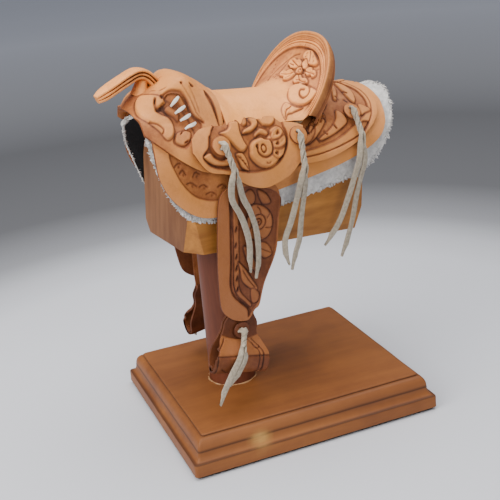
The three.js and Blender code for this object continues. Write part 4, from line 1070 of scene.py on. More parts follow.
def tool_seat(t, inset, low):
    """Plain seat; the dish has a lined and beaded border, a stem, a flower, a spiral and leaves."""
    dish = smooth(t.points[:, 0], 6, 12)
    t.crease(inset, 0.6, 0.4, 0.3, 0.6, dish)
    t.crease(inset, 2.3, 0.35, 0.3, 0.6, dish)
    flat_inset = inset.reshape(-1)
    ticks = 0.5 + 0.5 * np.sin(low.reshape(-1) * 4.2)
    bead = np.exp(-(((flat_inset - 3.8) / 0.7) ** 2)) * dish * ticks
    t.height -= 0.28 * bead
    t.stain_and_shade += 0.6 * bead
    t.crease(inset, 5.4, 0.6, 0.5, 1.0, dish)
    ground = smooth(flat_inset, 5.4, 6.4) * smooth(t.points[:, 0], 1, 9)
    t.height -= 0.5 * ground
    t.stain_and_shade += 0.42 * ground * smooth(t.points[:, 0], 6, 14)
    for side in (1, -1):
        for k in range(7):
            at = 8 + 3.1 * k
            t.slit((at, side * (0.55 * at + 9.5)), 2.0, 60 * side, 0.28, 0.3, 0.55)
    # curling stem on the right, and the pointed leaf over the flower
    t.groove([(10, -14), (14.5, -15.5), (20.5, -13), (24.5, -10), (28, -6.5), (29.5, -2)], width=0.45,
             depth=0.4,
             shade=0.9)
    t.groove([(12, -9), (18.5, -8.5), (23.5, -8), (26, -4.5)], width=0.35, depth=0.3, shade=0.7)
    t.petal([(33.5, 9), (32.5, 5), (29.5, 3.5), (26.5, 6.5), (25.2, 13.5), (26.5, 19.5), (29, 22), (31, 17.5),
             (32.5, 13)], 0.35, slope=0.8, shade=0.95)
    t.groove([(32.3, 9), (30.5, 11), (27, 13.5)], width=0.4, depth=0.35, shade=0.85)
    for y, s in ((30.6, 7.2), (28.6, 7.8), (30.2, 14.5), (28.2, 17)):
        t.slit((y, s), 1.8, 40 if s < 10 else 140, 0.26, 0.3, 0.7)
    # ruffled petals round the flower's centre
    for outline in ([(21.5, -5.5), (25, -5.5), (26.5, -2.5), (25.6, 0.5), (26.4, 3.5), (24, 7.5), (21.5, 7.5),
                     (19.5, 4.5), (18.8, 0.5), (20, -2)],
                    [(12.5, -3.5), (15, -5.5), (17.5, -4), (17.3, -1), (19, 1.5), (18.3, 5), (17, 8.5),
                     (13.5, 8),
                     (11, 6), (10.4, 3), (12.2, 0.5)],
                    [(23.5, 14.5), (25.6, 18), (24.8, 20.5), (25.5, 23.5), (23.6, 27), (21, 24.5),
                     (21.4, 21.5),
                     (19.8, 19), (20.5, 15.5)],
                    [(16.5, 10.5), (18.5, 13), (17.8, 16.5), (19, 19.5), (18, 24), (15, 23.2), (13.2, 20),
                     (13.8, 17), (12, 14), (13, 11)],
                    [(24, 7.5), (27.5, 9), (26.4, 12.5), (23, 14.6), (21.2, 12)]):
        t.petal(outline, 0.2, slope=0.8, dish=0.3, shade=1.0)
    for line in ([(24.5, -3.5), (22.8, 1.5), (21.8, 6)], [(22.2, -3.6), (21.6, 0.5)],
                 [(14.2, -3.4), (15, 1.5), (17.4, 6.5)],
                 [(12.4, 3.4), (15, 5)], [(23.4, 25), (22.4, 20), (21.4, 15.6)],
                 [(17, 21.6), (15.4, 16), (17.6, 12)],
                 [(14.4, 13), (15.4, 14.8)]):
        t.groove(line, width=0.34, depth=0.34, shade=0.85)
    t.petal([(21.6, 7.4), (22.3, 10), (20.4, 13), (18, 12.2), (17.3, 9.4), (19, 7.2)], 0.35, slope=0.7,
            dish=0.2,
            shade=1.0)
    t.ring((19.8, 10.2), 1.0, width=0.3, depth=0.4, shade=0.9)
    for turn in range(0, 360, 45):
        c, s = math.cos(math.radians(turn)), math.sin(math.radians(turn))
        t.slit((19.8 + 2.7 * c, 10.2 + 3.3 * s), 1.7, turn, 0.26, 0.35, 0.85)
    t.petal([(6, 15.5), (3, 22), (5.5, 30), (10.5, 39.5), (15.5, 43), (19, 40), (17.6, 29), (14.5, 18.5),
             (10.5, 14.5)],
            0.4, slope=1.2, shade=1.0)
    t.groove([(15.2, 21), (17, 28), (14.8, 33.5), (10.8, 31.5), (9.8, 26), (12, 23.5), (13.8, 26.5)],
             width=0.6,
             depth=0.55, shade=1.0)
    t.petal([(-2.8, 24.7), (1, 22.5), (4.3, 29.5), (7.8, 38), (2, 31.5), (-2.2, 31), (-5, 34), (-5.2, 29)],
            0.35,
            slope=0.9, shade=1.0)
    t.groove([(-4.6, 32.5), (-1.5, 27.8), (2.2, 26.6)], width=0.35, depth=0.3, shade=0.75)
    for y, s in ((12, -9), (13.5, -7), (11, -6), (14.6, -10.5), (12.8, -11.5)):
        t.dot((y, s), 0.5, 0.3, 0.6)


def tool_fender(t):
    """Smooth border inside a deep groove, a stem with slits, a rose and leaves."""
    t.field([(-39.3, 150), (-39.2, 123), (-39.2, 109), (-39.6, 97), (-37.6, 90), (-33.6, 85.3), (-29.4, 81),
             (-28.5, 78.5), (-24, 84), (-20.5, 94), (-13.6, 111), (-11.8, 128), (-12, 146)],
            depth=0.35, slope=0.5, tone=0.4, shade=0.4)
    t.groove([(-40.3, 150), (-40.3, 123), (-40.3, 109), (-40.8, 97), (-38.8, 90.5), (-34.8, 86),
              (-30.3, 81.5),
              (-29.6, 77.2)], width=0.7, depth=0.6, shade=1.0)
    t.petal([(-38.9, 150), (-38.9, 123), (-38.9, 107), (-39.1, 97.5), (-36.8, 90.6), (-32.6, 86),
             (-28.9, 82.2),
             (-28, 84), (-31.3, 88), (-34.4, 92), (-35.7, 97.5), (-35.3, 107), (-35.4, 123), (-35.4, 150)],
             0.0,
            slope=0.9, shade=0.6, tone=0.1)
    for y, z in ((-37, 128.5), (-37.4, 119.5), (-37, 113), (-37, 106.5), (-36.8, 100.5), (-36.6, 94)):
        t.slit((y, z), 3.4, 80, 0.5, 0.6, 1.0)
    rose = [(-29.8, 136), (-27, 140.5), (-21, 139.5), (-15.5, 134.5), (-14.3, 128), (-16.8, 122),
            (-21.5, 120),
            (-27.5, 121.5), (-30.3, 127)]
    t.petal(rose, 0.2, slope=1.4, shade=0.95)
    for turn in (20, 80, 140, 200, 260, 320):
        c, s = math.cos(math.radians(turn)), math.sin(math.radians(turn))
        t.groove([(-23 + 5.2 * c, 130.3 + 5.2 * s), (-23 + 7 * c - 1.1 * s, 130.3 + 7.4 * s + 1.1 * c),
                  (-23 + 8 * c - 2.6 * s, 130.3 + 8.6 * s + 2.6 * c)], width=0.35, depth=0.35, shade=0.7)
    t.ring((-23.4, 130.5), 4.3, width=0.42, depth=0.4, shade=0.85)
    t.ring((-23.6, 130.6), 1.9, width=0.4, depth=0.5, shade=1.0)
    t.dot((-23.6, 130.6), 0.7, 0.4, 0.9)
    t.petal([(-21.8, 118.8), (-17.2, 116.8), (-14.9, 111), (-20, 109.3), (-24.5, 114.5)], 0.15, slope=1.0)
    t.groove([(-22.5, 115.5), (-19.5, 113.8), (-16, 112)], width=0.32, depth=0.3, shade=0.6)
    t.petal([(-36.3, 110), (-31.3, 104.8), (-27.6, 98.8), (-24, 93), (-25.5, 91.3), (-30.5, 94.3),
             (-34, 98.6),
             (-35, 104)], 0.2, slope=1.0, shade=0.9)
    t.groove([(-33.5, 104.5), (-30, 98.5), (-26, 93.5)], width=0.35, depth=0.3, shade=0.65)
    t.petal([(-28.2, 93), (-23.3, 90), (-23.8, 85), (-27.8, 84.5)], 0.05, slope=0.8, tone=0.12)
    t.petal([(-32.7, 118), (-31.5, 112), (-27.5, 104.5), (-24, 101), (-22.5, 104), (-25.5, 109),
             (-28.8, 116)], 0.0,
            slope=1.0, tone=0.15, shade=0.8)
    t.petal([(-33, 146), (-28.5, 149.5), (-25.3, 146), (-26, 141.5), (-30.5, 141)], 0.1, slope=0.9, tone=0.08)
    t.petal([(-24, 148.5), (-18.5, 146), (-15.5, 140.5), (-21, 140.5)], 0.05, slope=0.9, tone=0.12)
    t.matting(0.07)


def tool_stirrup(t):
    """Dark neck; light flared face with engraved side bands down to a crease; painted shade below it, where
    the band turns under, and on the loop's inner leg.
    """
    run, across = t.points[:, 0], t.points[:, 1]
    neck = smooth(run, 16.4 - 0.02 * across**2, 15.2 - 0.02 * across**2)
    # darker neck; painted shade below the crease, where the band turns under
    t.stain_and_shade += 0.72 * neck + 0.42 * smooth(run, 25.6, 27.4)
    t.height -= 0.35 * neck
    # painted shade on the loop's inner leg
    inner = smooth(run, 46, 50)
    t.stain_and_shade += 0.3 * inner
    half = lerp(8.6, 14.6, smooth(run, 14, 26))
    for edge, weight in (((across + half + 1.6), 1.0), ((across - half + 1.9), 1.0),
                         ((across - half + 4.4), 0.8)):
        on = weight * smooth(run, 14, 16.5) * smooth(run, 44, 40)
        t.height -= 0.3 * np.exp(-((edge / 0.4) ** 2)) * on
        t.stain_and_shade += 0.7 * np.exp(-((edge / 0.45) ** 2)) * on
    t.height -= 0.35 * np.exp(-(((run - 26.3) / 0.6) ** 2))
    t.stain_and_shade += 0.5 * np.exp(-(((run - 26.3) / 0.5) ** 2))
    t.groove([(18.4, 6.4), (21.2, 7.2), (22.2, 9.4), (20.6, 10.8)], width=0.35, depth=0.3, shade=0.6)
    for at in (-13, 13):
        t.groove([(33.5, at), (37, 0.55 * at), (38, 0)], width=0.4, depth=0.25, shade=0.4)


def build_fleece(side_name, side):
    rows, cols = 150, 70
    chart = chart_of("fleece", rows, cols)
    y, s = chart[..., 0], chart[..., 1]
    v = np.linspace(0, 1, cols)[None, :] * np.ones((rows, 1))
    u = np.linspace(0, 1, rows)[:, None] * np.ones((1, cols))
    hem = smooth(v, 0.8, 1.0) + smooth(u, 0.93, 1.0) * 0.8 + smooth(u, 0.06, 0.0) * 0.8
    hem = np.clip(hem, 0, 1)
    outer = form(y, s, 4.1)
    lumps = wobble(outer, 1.0, 1.5) + wobble(outer, 0.6, 0.62, 3.0) + rng.normal(0, 0.16, y.shape)
    outer = form(y, s + hem * wobble(outer, 0.7, 1.1, 5.0), 4.05 - 0.4 * hem + 0.55 * lumps * hem)
    inner = form(y, s, 0.7 + 0.25 * hem + 0.2 * wobble(outer, 1.0, 1.4, 1.0) * hem)
    points, faces = close_sheet(outer, inner)
    # painted shade: the fleece's inner faces take the near-black felt, standing in for the shade under the
    # fleece
    shaded_underside = np.zeros(len(faces), int)
    shaded_underside[(rows - 1) * (cols - 1):2 * (rows - 1) * (cols - 1)] = 1
    # wool locks round the hem: 0 for the lower edge, 1 for the front, 2 for the rear
    locks = []
    edge = [(k, 1.0, 0) for k in np.linspace(0.0, 1.0, 620)]
    edge += [(0.0, k, 1) for k in np.linspace(0.15, 1.0, 90)]
    edge += [(1.0, k, 2) for k in np.linspace(0.0, 1.0, 100)]
    upper, lower = PANELS["fleece"]
    for k, w, kind in edge:
        for _ in range(2):
            uu, ww = np.clip(k + rng.normal(0, 0.004), 0, 1), np.clip(w - abs(rng.normal(0, 0.02)), 0, 1)
            if kind:
                uu, ww = np.clip(k + (1 if kind == 1 else -1) * abs(rng.normal(0, 0.006)), 0, 1), w
            p = lerp(upper(uu), lower(uu), ww)
            q = lerp(upper(np.clip(uu + 0.01, 0, 1)), lower(np.clip(uu + 0.01, 0, 1)), ww)
            along = q - lerp(upper(np.clip(uu - 0.01, 0, 1)), lower(np.clip(uu - 0.01, 0, 1)), ww)
            along /= max(np.linalg.norm(along), 1e-6)
            out = np.array([along[1], -along[0]])
            if kind == 0 and out[1] < 0:
                out = -out
            if kind == 1:
                out = np.array([-1.0, 0.3])
            if kind == 2:
                out = np.array([1.0, 0.1])
            height = rng.uniform(0.9, 3.9)
            length = rng.uniform(0.3, 0.8) + rng.uniform(0, 0.9) * smooth(k, 0.25, 0.7) * (kind != 1)
            drift = rng.normal(0, 0.5, 2)
            base_r = rng.uniform(0.45, 0.95)
            rings = []
            for f, r in ((-0.35, 0.8), (0.3, 1.0), (0.7, 0.8), (1.0, 0.3)):
                c = p + out * length * f + drift * f
                centre = form(c[0], c[1], height - 0.5 * f * f * rng.uniform(-1, 1))
                a = np.linspace(0, 2 * math.pi, 5, endpoint=False) + f
                spread = base_r * r
                rise = 0.6 * spread * np.sin(a)
                rings.append(centre + np.stack([rise, spread * np.cos(a), rise], -1))
            locks.append(loft(rings))
    points, faces = joined([(points, faces.tolist()), *locks])
    slots = np.concatenate([shaded_underside, np.zeros(len(faces) - len(shaded_underside), int)])
    piece = make_object(f"fleece_{side_name}", to_world(to_side(points, side)), facing(faces, side), None,
                        ROOT, materials=[fleece_wool, black_felt_and_shade], slots=slots, sharp=180)
    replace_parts(piece, f"fleece_{side_name}")


def joined(parts):
    """Several meshes, each (points, faces), as one."""
    points, faces, count = [], [], 0
    for part_points, part_faces in parts:
        points.append(part_points)
        faces += [[k + count for k in face] for face in part_faces]
        count += len(part_points)
    return np.concatenate(points), faces


def close_sheet(outer, inner):
    """Closed sheet between two equal grids: outer faces first, then inner, then the rim."""
    rows, cols = outer.shape[:2]
    ring = boundary(rows, cols)
    index = np.array([i * cols + j for i, j in ring])
    nxt = np.roll(index, -1)
    count = rows * cols
    sides = np.stack([index, index + count, nxt + count, nxt], -1)
    faces = np.concatenate([grid_faces(rows, cols, flip=True), grid_faces(rows, cols, count), sides])
    points = np.concatenate([outer.reshape(-1, 3), inner.reshape(-1, 3)])
    return points, faces


for side_name, side in SIDES:
    form_leather("skirt", side_name, side, (6.3, 6.3), 300, 150, tool_skirt)
    form_leather("rear_jockey", side_name, side, (8.4, 8.4), 230, 110, tool_rear_jockey)
    form_leather("seat_jockey", side_name, side, (12.4, 12.2), 250, 110, tool_seat_jockey, thickness=1.2)
    build_fleece(side_name, side)

# ---------------------------------------------------------------- fork


def build_fork():
    base = fork_surface(np.linspace(0, 1, 200)[:, None], np.linspace(0, 1, 300)[None, :])
    # chart: y along, and the way down from the ridge measured on the surface
    steps = np.linalg.norm(np.diff(base, axis=1), axis=-1)
    run = np.concatenate([np.zeros((len(base), 1)), np.cumsum(steps, 1)], 1)
    run -= run[:, [len(run[0]) // 2]]
    chart = np.stack([base[..., 1], np.abs(run)], -1)
    tooling = Tooling(chart)
    tool_fork(tooling)
    height, stain_and_shade = tooling.result()
    sink = normals_of(base)
    grid = set_back(base - sink * height[..., None])
    points, faces, values = slab(grid, LEATHER, stain_and_shade, 1, set_back(base))
    cover = make_object("fork_cover", to_world(points), faces, leather, ROOT, values)
    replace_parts(cover, "fork_cover")


def strip(centre, normal, width, thickness, left=None, right=None, corner=0.3):
    """Rings of a flat strap along a line; left and right are the half widths along it."""
    centre = np.asarray(centre, float)
    tangent = np.gradient(centre, axis=0)
    tangent /= np.linalg.norm(tangent, axis=1, keepdims=True)
    normal = normal - (normal * tangent).sum(1, keepdims=True) * tangent
    normal /= np.linalg.norm(normal, axis=1, keepdims=True)
    across = np.cross(tangent, normal)
    left = np.full(len(centre), width / 2) if left is None else left
    right = np.full(len(centre), width / 2) if right is None else right
    h, c = thickness / 2, corner
    shape = [(1, -1 + c), (1 - c, -1), (0.4, -1), (-0.4, -1), (-1 + c, -1), (-1, -1 + c),
             (-1, 1 - c), (-1 + c, 1), (-0.4, 1), (0.4, 1), (1 - c, 1), (1, 1 - c)]
    rings = []
    for a, b in shape:
        reach = np.where(a > 0, a * right, a * left)
        rings.append(centre + across * reach[:, None] + normal * (b * h))
    return np.stack(rings, 1)


# rear end and front end of each stitch across the fork's seam, in fork (u, v)
STITCHES = (((0.525, 0.752), (0.455, 0.766)), ((0.565, 0.777), (0.48, 0.789)),
            ((0.605, 0.796), (0.515, 0.81)),
            ((0.645, 0.816), (0.54, 0.838)))


def build_lacing(side_name, side):
    """Four rawhide stitches across the seam."""
    stitches = []
    for ends in STITCHES:
        t = np.linspace(-0.06, 1.06, 14)
        uu, vv = lerp(ends[0][0], ends[1][0], t), lerp(ends[0][1], ends[1][1], t)
        on = fork_surface(uu, vv)
        e = 0.004
        n = np.cross(fork_surface(uu + e, vv) - fork_surface(uu - e, vv),
                     fork_surface(uu, vv + e) - fork_surface(uu, vv - e))
        n = -n / np.linalg.norm(n, axis=1, keepdims=True)
        arch = 1.15 * np.sin(np.clip(t, 0, 1) * math.pi) ** 0.6 - 0.7 * (np.abs(t - 0.5) > 0.5)
        half = 0.55 + 0.4 * np.sin(np.clip(t, 0, 1) * math.pi)
        stitches.append(loft(strip(on + n * arch[:, None], n, 2, 0.7, half, half)))
    points, faces = joined(stitches)
    lace = make_object(f"fork_lacing_{side_name}", to_world(to_side(points, side)), facing(faces, side),
                       rawhide, ROOT)
    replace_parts(lace, f"fork_lacing_{side_name}")


build_fork()
for side_name, side in SIDES:
    build_lacing(side_name, side)

# ---------------------------------------------------------------- horn


def build_horn():
    half_width, layer, pitch = 5.5, 1.56, 1.72
    u = np.linspace(0, 1, 90)
    path, ahead, behind = HORN_PATH(u), HORN_PATH(u + 0.02), HORN_PATH(u - 0.02)
    along = ahead - behind
    along /= np.linalg.norm(along, axis=1, keepdims=True)
    width = half_width * np.sqrt(np.maximum(0.03, 1 - smooth(u, 0.72, 1.06) ** 2))
    a = np.linspace(0, 2 * math.pi, 40, endpoint=False)
    across = np.sign(np.cos(a)) * np.abs(np.cos(a)) ** 0.3
    up = np.sign(np.sin(a)) * np.abs(np.sin(a)) ** 0.6
    for name, rank in (("horn_lower", -1), ("horn_core", 0), ("horn_upper", 1)):
        rings, stain_and_shade_values = [], []
        for k in range(len(u)):
            w = width[k] * (1.0 + 0.02 * math.sin(9 * u[k] + rank)) + 0.15 * math.sin(23 * u[k] + 2 * rank)
            tip = smooth(u[k], 0.9, 1.0)
            outer = 0.55 * (1 - across**2) * (rank != 0) * np.where(rank * up > 0, 1, 0)
            h = rank * pitch * (1 - 0.3 * tip) + up * layer / 2 * (1 - 0.2 * tip) + rank * outer
            rings.append(np.stack([across * w, path[k, 0] + along[k, 1] * h, path[k, 1] - along[k, 0] * h],
                                  -1))
            joint = smooth(-rank * up if rank else np.abs(up), 0.1, 0.95)
            stain_and_shade_values.append(np.clip(lerp(0.12, 0.8, joint * (1 - 0.75 * smooth(u[k], 0.62, 0.8)))
                                + 0.35 * smooth(u[k], 0.3, 0.1), 0, 1))
        points, faces = loft(rings)
        horn = make_object(name, to_world(points), faces, seat_leather, ROOT, np.concatenate(stain_and_shade_values), sharp=60)
        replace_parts(horn, name)
    # pale neck from the fork's front up to the underside of the bend
    rings = []
    for t in np.linspace(0, 1, 14):
        y, z = lerp(-73.5, -71.6, t), lerp(198.5, 206.2, t)
        w, d = lerp(7.5, 4.6, t**0.6), lerp(4.2, 2.4, t)
        b = np.linspace(0, 2 * math.pi, 24, endpoint=False)
        rings.append(np.stack([w * np.cos(b), y + d * np.sin(b), np.full(24, z) - 0.3 * np.sin(b)], -1))
    points, faces = loft(rings)
    make_object("horn_neck", to_world(points), faces, seat_leather, ROOT,
                np.full(len(points), 0.15))


build_horn()

# ---------------------------------------------------------------- seat and cantle


def build_seat():
    rows, cols = 330, 240
    u = np.linspace(0, 1, rows)[:, None]
    v = np.linspace(0, 1, cols)[None, :]
    base = seat_surface(u, v)
    steps = np.linalg.norm(np.diff(base, axis=0), axis=-1)
    run = np.concatenate([np.zeros((1, cols)), np.cumsum(steps, 0)], 0)
    # chart: the way back along the seat from y = 4, and the distance from the middle
    run -= run[rows // 2]
    side_steps = np.linalg.norm(np.diff(base, axis=1), axis=-1)
    across = np.concatenate([np.zeros((rows, 1)), np.cumsum(side_steps, 1)], 1)
    across -= across[:, [cols // 2]]
    chart = np.stack([run, across], -1)
    tooling = Tooling(chart)
    inset = run[-1] - run
    rim_run = np.concatenate([[0], np.cumsum(np.linalg.norm(np.diff(base[-1], axis=0), axis=1))])
    tool_seat(tooling, inset, np.broadcast_to(rim_run, inset.shape))
    height, stain_and_shade = tooling.result()
    sink = normals_of(base)
    grid = base - sink * height[..., None]
    points, faces, values = slab(grid, LEATHER, stain_and_shade, 1, base)
    seat = make_object("seat", to_world(points), faces, seat_leather, ROOT, values)
    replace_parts(seat, "seat_leather")


def build_binding():
    """Rolled edge over the cantle's crest with pressed ledge lines."""
    a = np.linspace(-CANTLE_SWEEP, CANTLE_SWEEP, 150)
    inner = rim(a, 4.2) + np.array([0, 0.6, -0.3])
    crest = rim(a, 0.0)
    rear = rim(a, 3.2) + np.array([0, 6.4, -3.4])
    rings = []
    stain_and_shade_values = []
    for k in range(len(a)):
        centre = (inner[k] + crest[k] + rear[k]) / 3
        # from the front inner edge over the crest to the rear, then back inside
        route = np.array([inner[k], lerp(inner[k], crest[k], 0.5) + np.array([0, -0.5, 0.1]), crest[k],
                          lerp(crest[k], rear[k], 0.5) + np.array([0, 0.7, 0.5]), rear[k],
                          lerp(rear[k], inner[k], 0.5)])
        ring = closed_curve(route, 7)
        f = np.arange(len(ring)) / len(ring)
        # two ledge lines on the front face, one on the rear
        ledge = sum(np.exp(-(((f - c) / 0.012) ** 2)) for c in (0.09, 0.2, 0.56))
        ring = ring + (centre - ring) * (0.09 * ledge)[:, None]
        rings.append(ring)
        stain_and_shade_values.append(np.clip(0.12 + 0.7 * ledge + 0.25 * smooth(f, 0.3, 0.5), 0, 1))
    points, faces = loft(rings)
    faces = [f[::-1] for f in faces]
    binding = make_object("cantle_binding", to_world(points), faces, leather, ROOT, np.concatenate(stain_and_shade_values),
                          sharp=60)
    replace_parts(binding, "cantle_binding")


def build_cantle_back():
    rows, cols = 170, 260
    w = lerp(0.1, 1, np.linspace(0, 1, rows))[:, None]
    v = lerp(0.02, 0.98, np.linspace(0, 1, cols))[None, :]
    base = cantle_rear(w, v)
    chart = np.stack([base[..., 2], base[..., 0]], -1)
    tooling = Tooling(chart)
    fall = np.broadcast_to(np.linspace(0, 34, rows)[:, None], base.shape[:2])
    edge = np.minimum(fall - 1.5, 15 * (1 - np.abs(np.linspace(-1, 1, cols)))[None, :])
    tooling.crease(edge, 3.2, 0.4, 0.3, 0.6)
    tooling.crease(edge, 4.6, 0.5, 0.35, 0.7)
    ground = smooth(edge, 4.6, 5.6).reshape(-1)
    tooling.height -= 0.3 * ground
    tooling.stain_and_shade += 0.3 * ground + 0.1
    for side in (1, -1):
        tooling.petal([(222, side * 2), (217, side * 10), (208, side * 13), (203, side * 7), (208, side * 3)],
                      0.15,
                      slope=1.2)
        tooling.petal([(204, side * 9), (199, side * 17), (192, side * 16), (195, side * 9)], 0.1, slope=1.0)
        tooling.groove([(219, side * 4), (212, side * 9), (206, side * 8)], width=0.4, depth=0.3, shade=0.6)
    tooling.petal([(200, -5), (206, 0), (200, 5), (192, 3), (192, -3)], 0.2, slope=1.2, dish=0.1)
    tooling.ring((198, 0), 2.0, width=0.4, depth=0.35, shade=0.7)
    tooling.matting(0.08)
    height, stain_and_shade = tooling.result()
    points, faces, values = slab(base - normals_of(base) * height[..., None], 1.4, stain_and_shade, 1, base)
    back = make_object("cantle_back", to_world(points), faces, leather, ROOT, values)
    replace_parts(back, "cantle_back")


build_seat()
build_binding()
build_cantle_back()

# ---------------------------------------------------------------- conchos


def rosette(radius, seed):
    """Leather disc in its own frame, back at z = 0, with two lacing slots."""
    rings, sectors = 22, 64
    a = np.linspace(0, 2 * math.pi, sectors, endpoint=False)
    local = np.random.default_rng(seed)
    edge = 1 + 0.012 * np.sin(3 * a + seed) + 0.008 * np.sin(7 * a)
    profile = [(r, 1.45 - 0.12 * (r * 1.6) ** 2) for r in np.linspace(0.03, 0.86, rings)]
    profile += [(0.92, 1.28), (0.965, 1.12), (0.99, 0.85), (1.0, 0.5), (0.98, 0.15), (0.93, 0.0)]
    points, stain_and_shade_values = [], []
    for r, z in profile:
        x, y = radius * r * edge * np.cos(a), radius * r * edge * np.sin(a)
        slots = sum(np.exp(-(((x - c) / 0.5) ** 4)) * np.exp(-((y / 1.5) ** 4)) for c in (-1.7, 1.7))
        dent = slots if r < 0.86 else np.zeros(sectors)
        points.append(np.stack([x, y, z - 0.9 * dent], -1))
        rub = 0.08 + 0.75 * smooth(r, 0.9, 0.99) + 0.12 * local.random()
        # the rim rubbed darker; the slot dents painted dark, as painted shade in the slots
        stain_and_shade_values.append(np.clip(rub + 0.9 * dent, 0, 1))
    mesh_points, faces = loft(points, cap=False)
    last = (len(profile) - 1) * sectors
    faces += [list(range(sectors))[::-1], list(range(last, last + sectors))]
    return mesh_points, [f[::-1] for f in faces], np.concatenate(stain_and_shade_values)


def on_form(y, s, d):
    """Rotation columns (down, forward-to-back, out) and the point, on the left side."""
    turn = min(s / BLOCK_HALF, math.pi / 2)
    out = np.array([math.sin(turn), 0, math.cos(turn)])
    down = np.array([math.cos(turn), 0, -math.sin(turn)])
    return np.stack([down, np.array([0, 1.0, 0]), out], 1), form(y, s, d)


CONCHOS = {"front": (-45, 34, 12.6), "mid": (2.5, 32.5, 12.8), "rear": (43.5, 25, 9.2)}


def build_conchos():
    for side_name, side in SIDES:
        for k, (where, place) in enumerate(CONCHOS.items()):
            points, faces, stain_and_shade_values = rosette(5.4, k + (5 if side < 0 else 0))
            axes, origin = on_form(*place)
            points = points @ axes.T + origin
            points = to_world(points * np.array([side, 1, 1]))
            name = f"concho_{where}_{side_name}"
            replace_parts(make_object(name, points, facing(faces, side), leather, ROOT, stain_and_shade_values, sharp=50), name)
        points, faces, stain_and_shade_values = rosette(5.0, 3)
        axes = np.array([[0, 0, 1.0], [1.0, 0, 0], [0, 1.0, 0]])
        points = points @ axes.T + np.array([38.4, *STIRRUP_PIVOT])
        points = hang(points, side, stirrup=True)
        name = f"concho_stirrup_{side_name}"
        # the stirrup's concho darkened all over: partly darker leather, partly painted shade
        stain_and_shade_values = np.clip(stain_and_shade_values + 0.5, 0, 1)
        disc = make_object(name, to_world(points), facing(faces, side), fender_dye_and_shade,
                           f"stirrup_assembly_{side_name}", stain_and_shade_values, sharp=50)
        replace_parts(disc, name)


build_conchos()

# ---------------------------------------------------------------- fenders, straps and stirrups

FENDER_FRONT = through([-28.6, 155.5], [-38, 153.6], [-46.6, 147], [-48.2, 128], [-48.4, 110], [-47.6, 92],
                       [-46, 83], [-41, 77.6], [-35.5, 75.1], [-32, 74.7])
FENDER_REAR = through([-28.6, 155.5], [-19, 153.6], [-10.6, 146], [-10.8, 128], [-12.5, 112], [-19.8, 95],
                      [-23, 83], [-26.2, 80], [-29.5, 75.4], [-31.6, 74.7])


FENDER_OUTER = 39.9


def build_fender(side_name, side):
    """Tooled fender and the plain strap behind it."""
    rows, cols = 300, 110
    u = np.linspace(0.0, 1, rows)
    v = np.linspace(0, 1, cols)[None, :, None]
    chart = lerp(FENDER_FRONT(u)[:, None], FENDER_REAR(u)[:, None], v)
    tooling = Tooling(chart)
    tool_fender(tooling)
    height, stain_and_shade = tooling.result()
    grid = np.stack([FENDER_OUTER + height, chart[..., 0], chart[..., 1]], -1)
    base = np.stack([np.full(height.shape, FENDER_OUTER), chart[..., 0], chart[..., 1]], -1)
    points, faces, values = slab(grid, 1.55, stain_and_shade, -1, base)
    body = f"hanging_leathers_{side_name}"
    fender = make_object(f"fender_{side_name}", to_world(hang(points, side)), facing(faces, side),
                         fender_dye_and_shade, body, values)
    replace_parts(fender, f"fender_{side_name}")
    drop = 0 if side > 0 else RIGHT_STIRRUP_DROP
    z = np.linspace(STIRRUP_PIVOT[1] - 4 - drop, 154, 90)[:, None]
    w = np.linspace(-8, 8, 14)[None, :]
    y = lerp(-33.2, -26.5, smooth(z, 70, 130)) + w
    stand = lerp(35.65, 37.35, smooth(z, 108, 124)) + 0.55
    grid = np.stack(np.broadcast_arrays(stand, y, z), -1)
    points, faces, values = slab(grid, 1.1, np.full(grid.shape[:2], 0.7), 1)
    strap = make_object(f"stirrup_leather_{side_name}", to_world(hang(points, side)), facing(faces, side),
                        leather, body, values)
    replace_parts(strap, f"stirrup_leather_{side_name}")


STIRRUP_PATH = through([37.2, 79], [37.2, 71.5], [37.5, 64.6], [41.2, 61], [44.8, 57.3], [45.6, 52.6],
                       [44.6, 47.8], [41.2, 45.6], [37.6, 47.6], [35.7, 52.6], [34.6, 59], [34.1, 66],
                       [34.1, 72.5], [34.1, 79])


def stirrup_band(shift, thickness, start, end, rows, cols, tool):
    """Grid of the band's outer face with and without its tooling, and the darkening."""
    t = np.linspace(start, end, rows)
    path, ahead, behind = STIRRUP_PATH(t), STIRRUP_PATH(t + 0.01), STIRRUP_PATH(t - 0.01)
    along = ahead - behind
    along /= np.linalg.norm(along, axis=1, keepdims=True)
    run = np.concatenate([[0], np.cumsum(np.linalg.norm(np.diff(path, axis=0), axis=1))])
    width = lerp(33, 21, smooth(path[:, 1], 54, 70)) - 7 * smooth(path[:, 1], 71, 79) ** 1.5
    across = np.linspace(-0.5, 0.5, cols)[None, :] * width[:, None]
    y = STIRRUP_PIVOT[0] + across
    chart = np.stack([run[:, None] * np.ones((1, cols)), across], -1)
    tooling = Tooling(chart)
    tool(tooling)
    height, stain_and_shade = tooling.result()

    # the band's outer face is on the side away from the loop
    def face(relief):
        lift = relief + shift + thickness / 2
        x = path[:, 0][:, None] - along[:, 1][:, None] * lift
        z = path[:, 1][:, None] + along[:, 0][:, None] * lift
        return np.stack([x, y, z], -1)

    return face(height), face(0 * height), stain_and_shade


def plain_tread(t):
    """Tread without tooling, darkened all over as painted shade under the loop."""
    t.stain_and_shade += 0.75


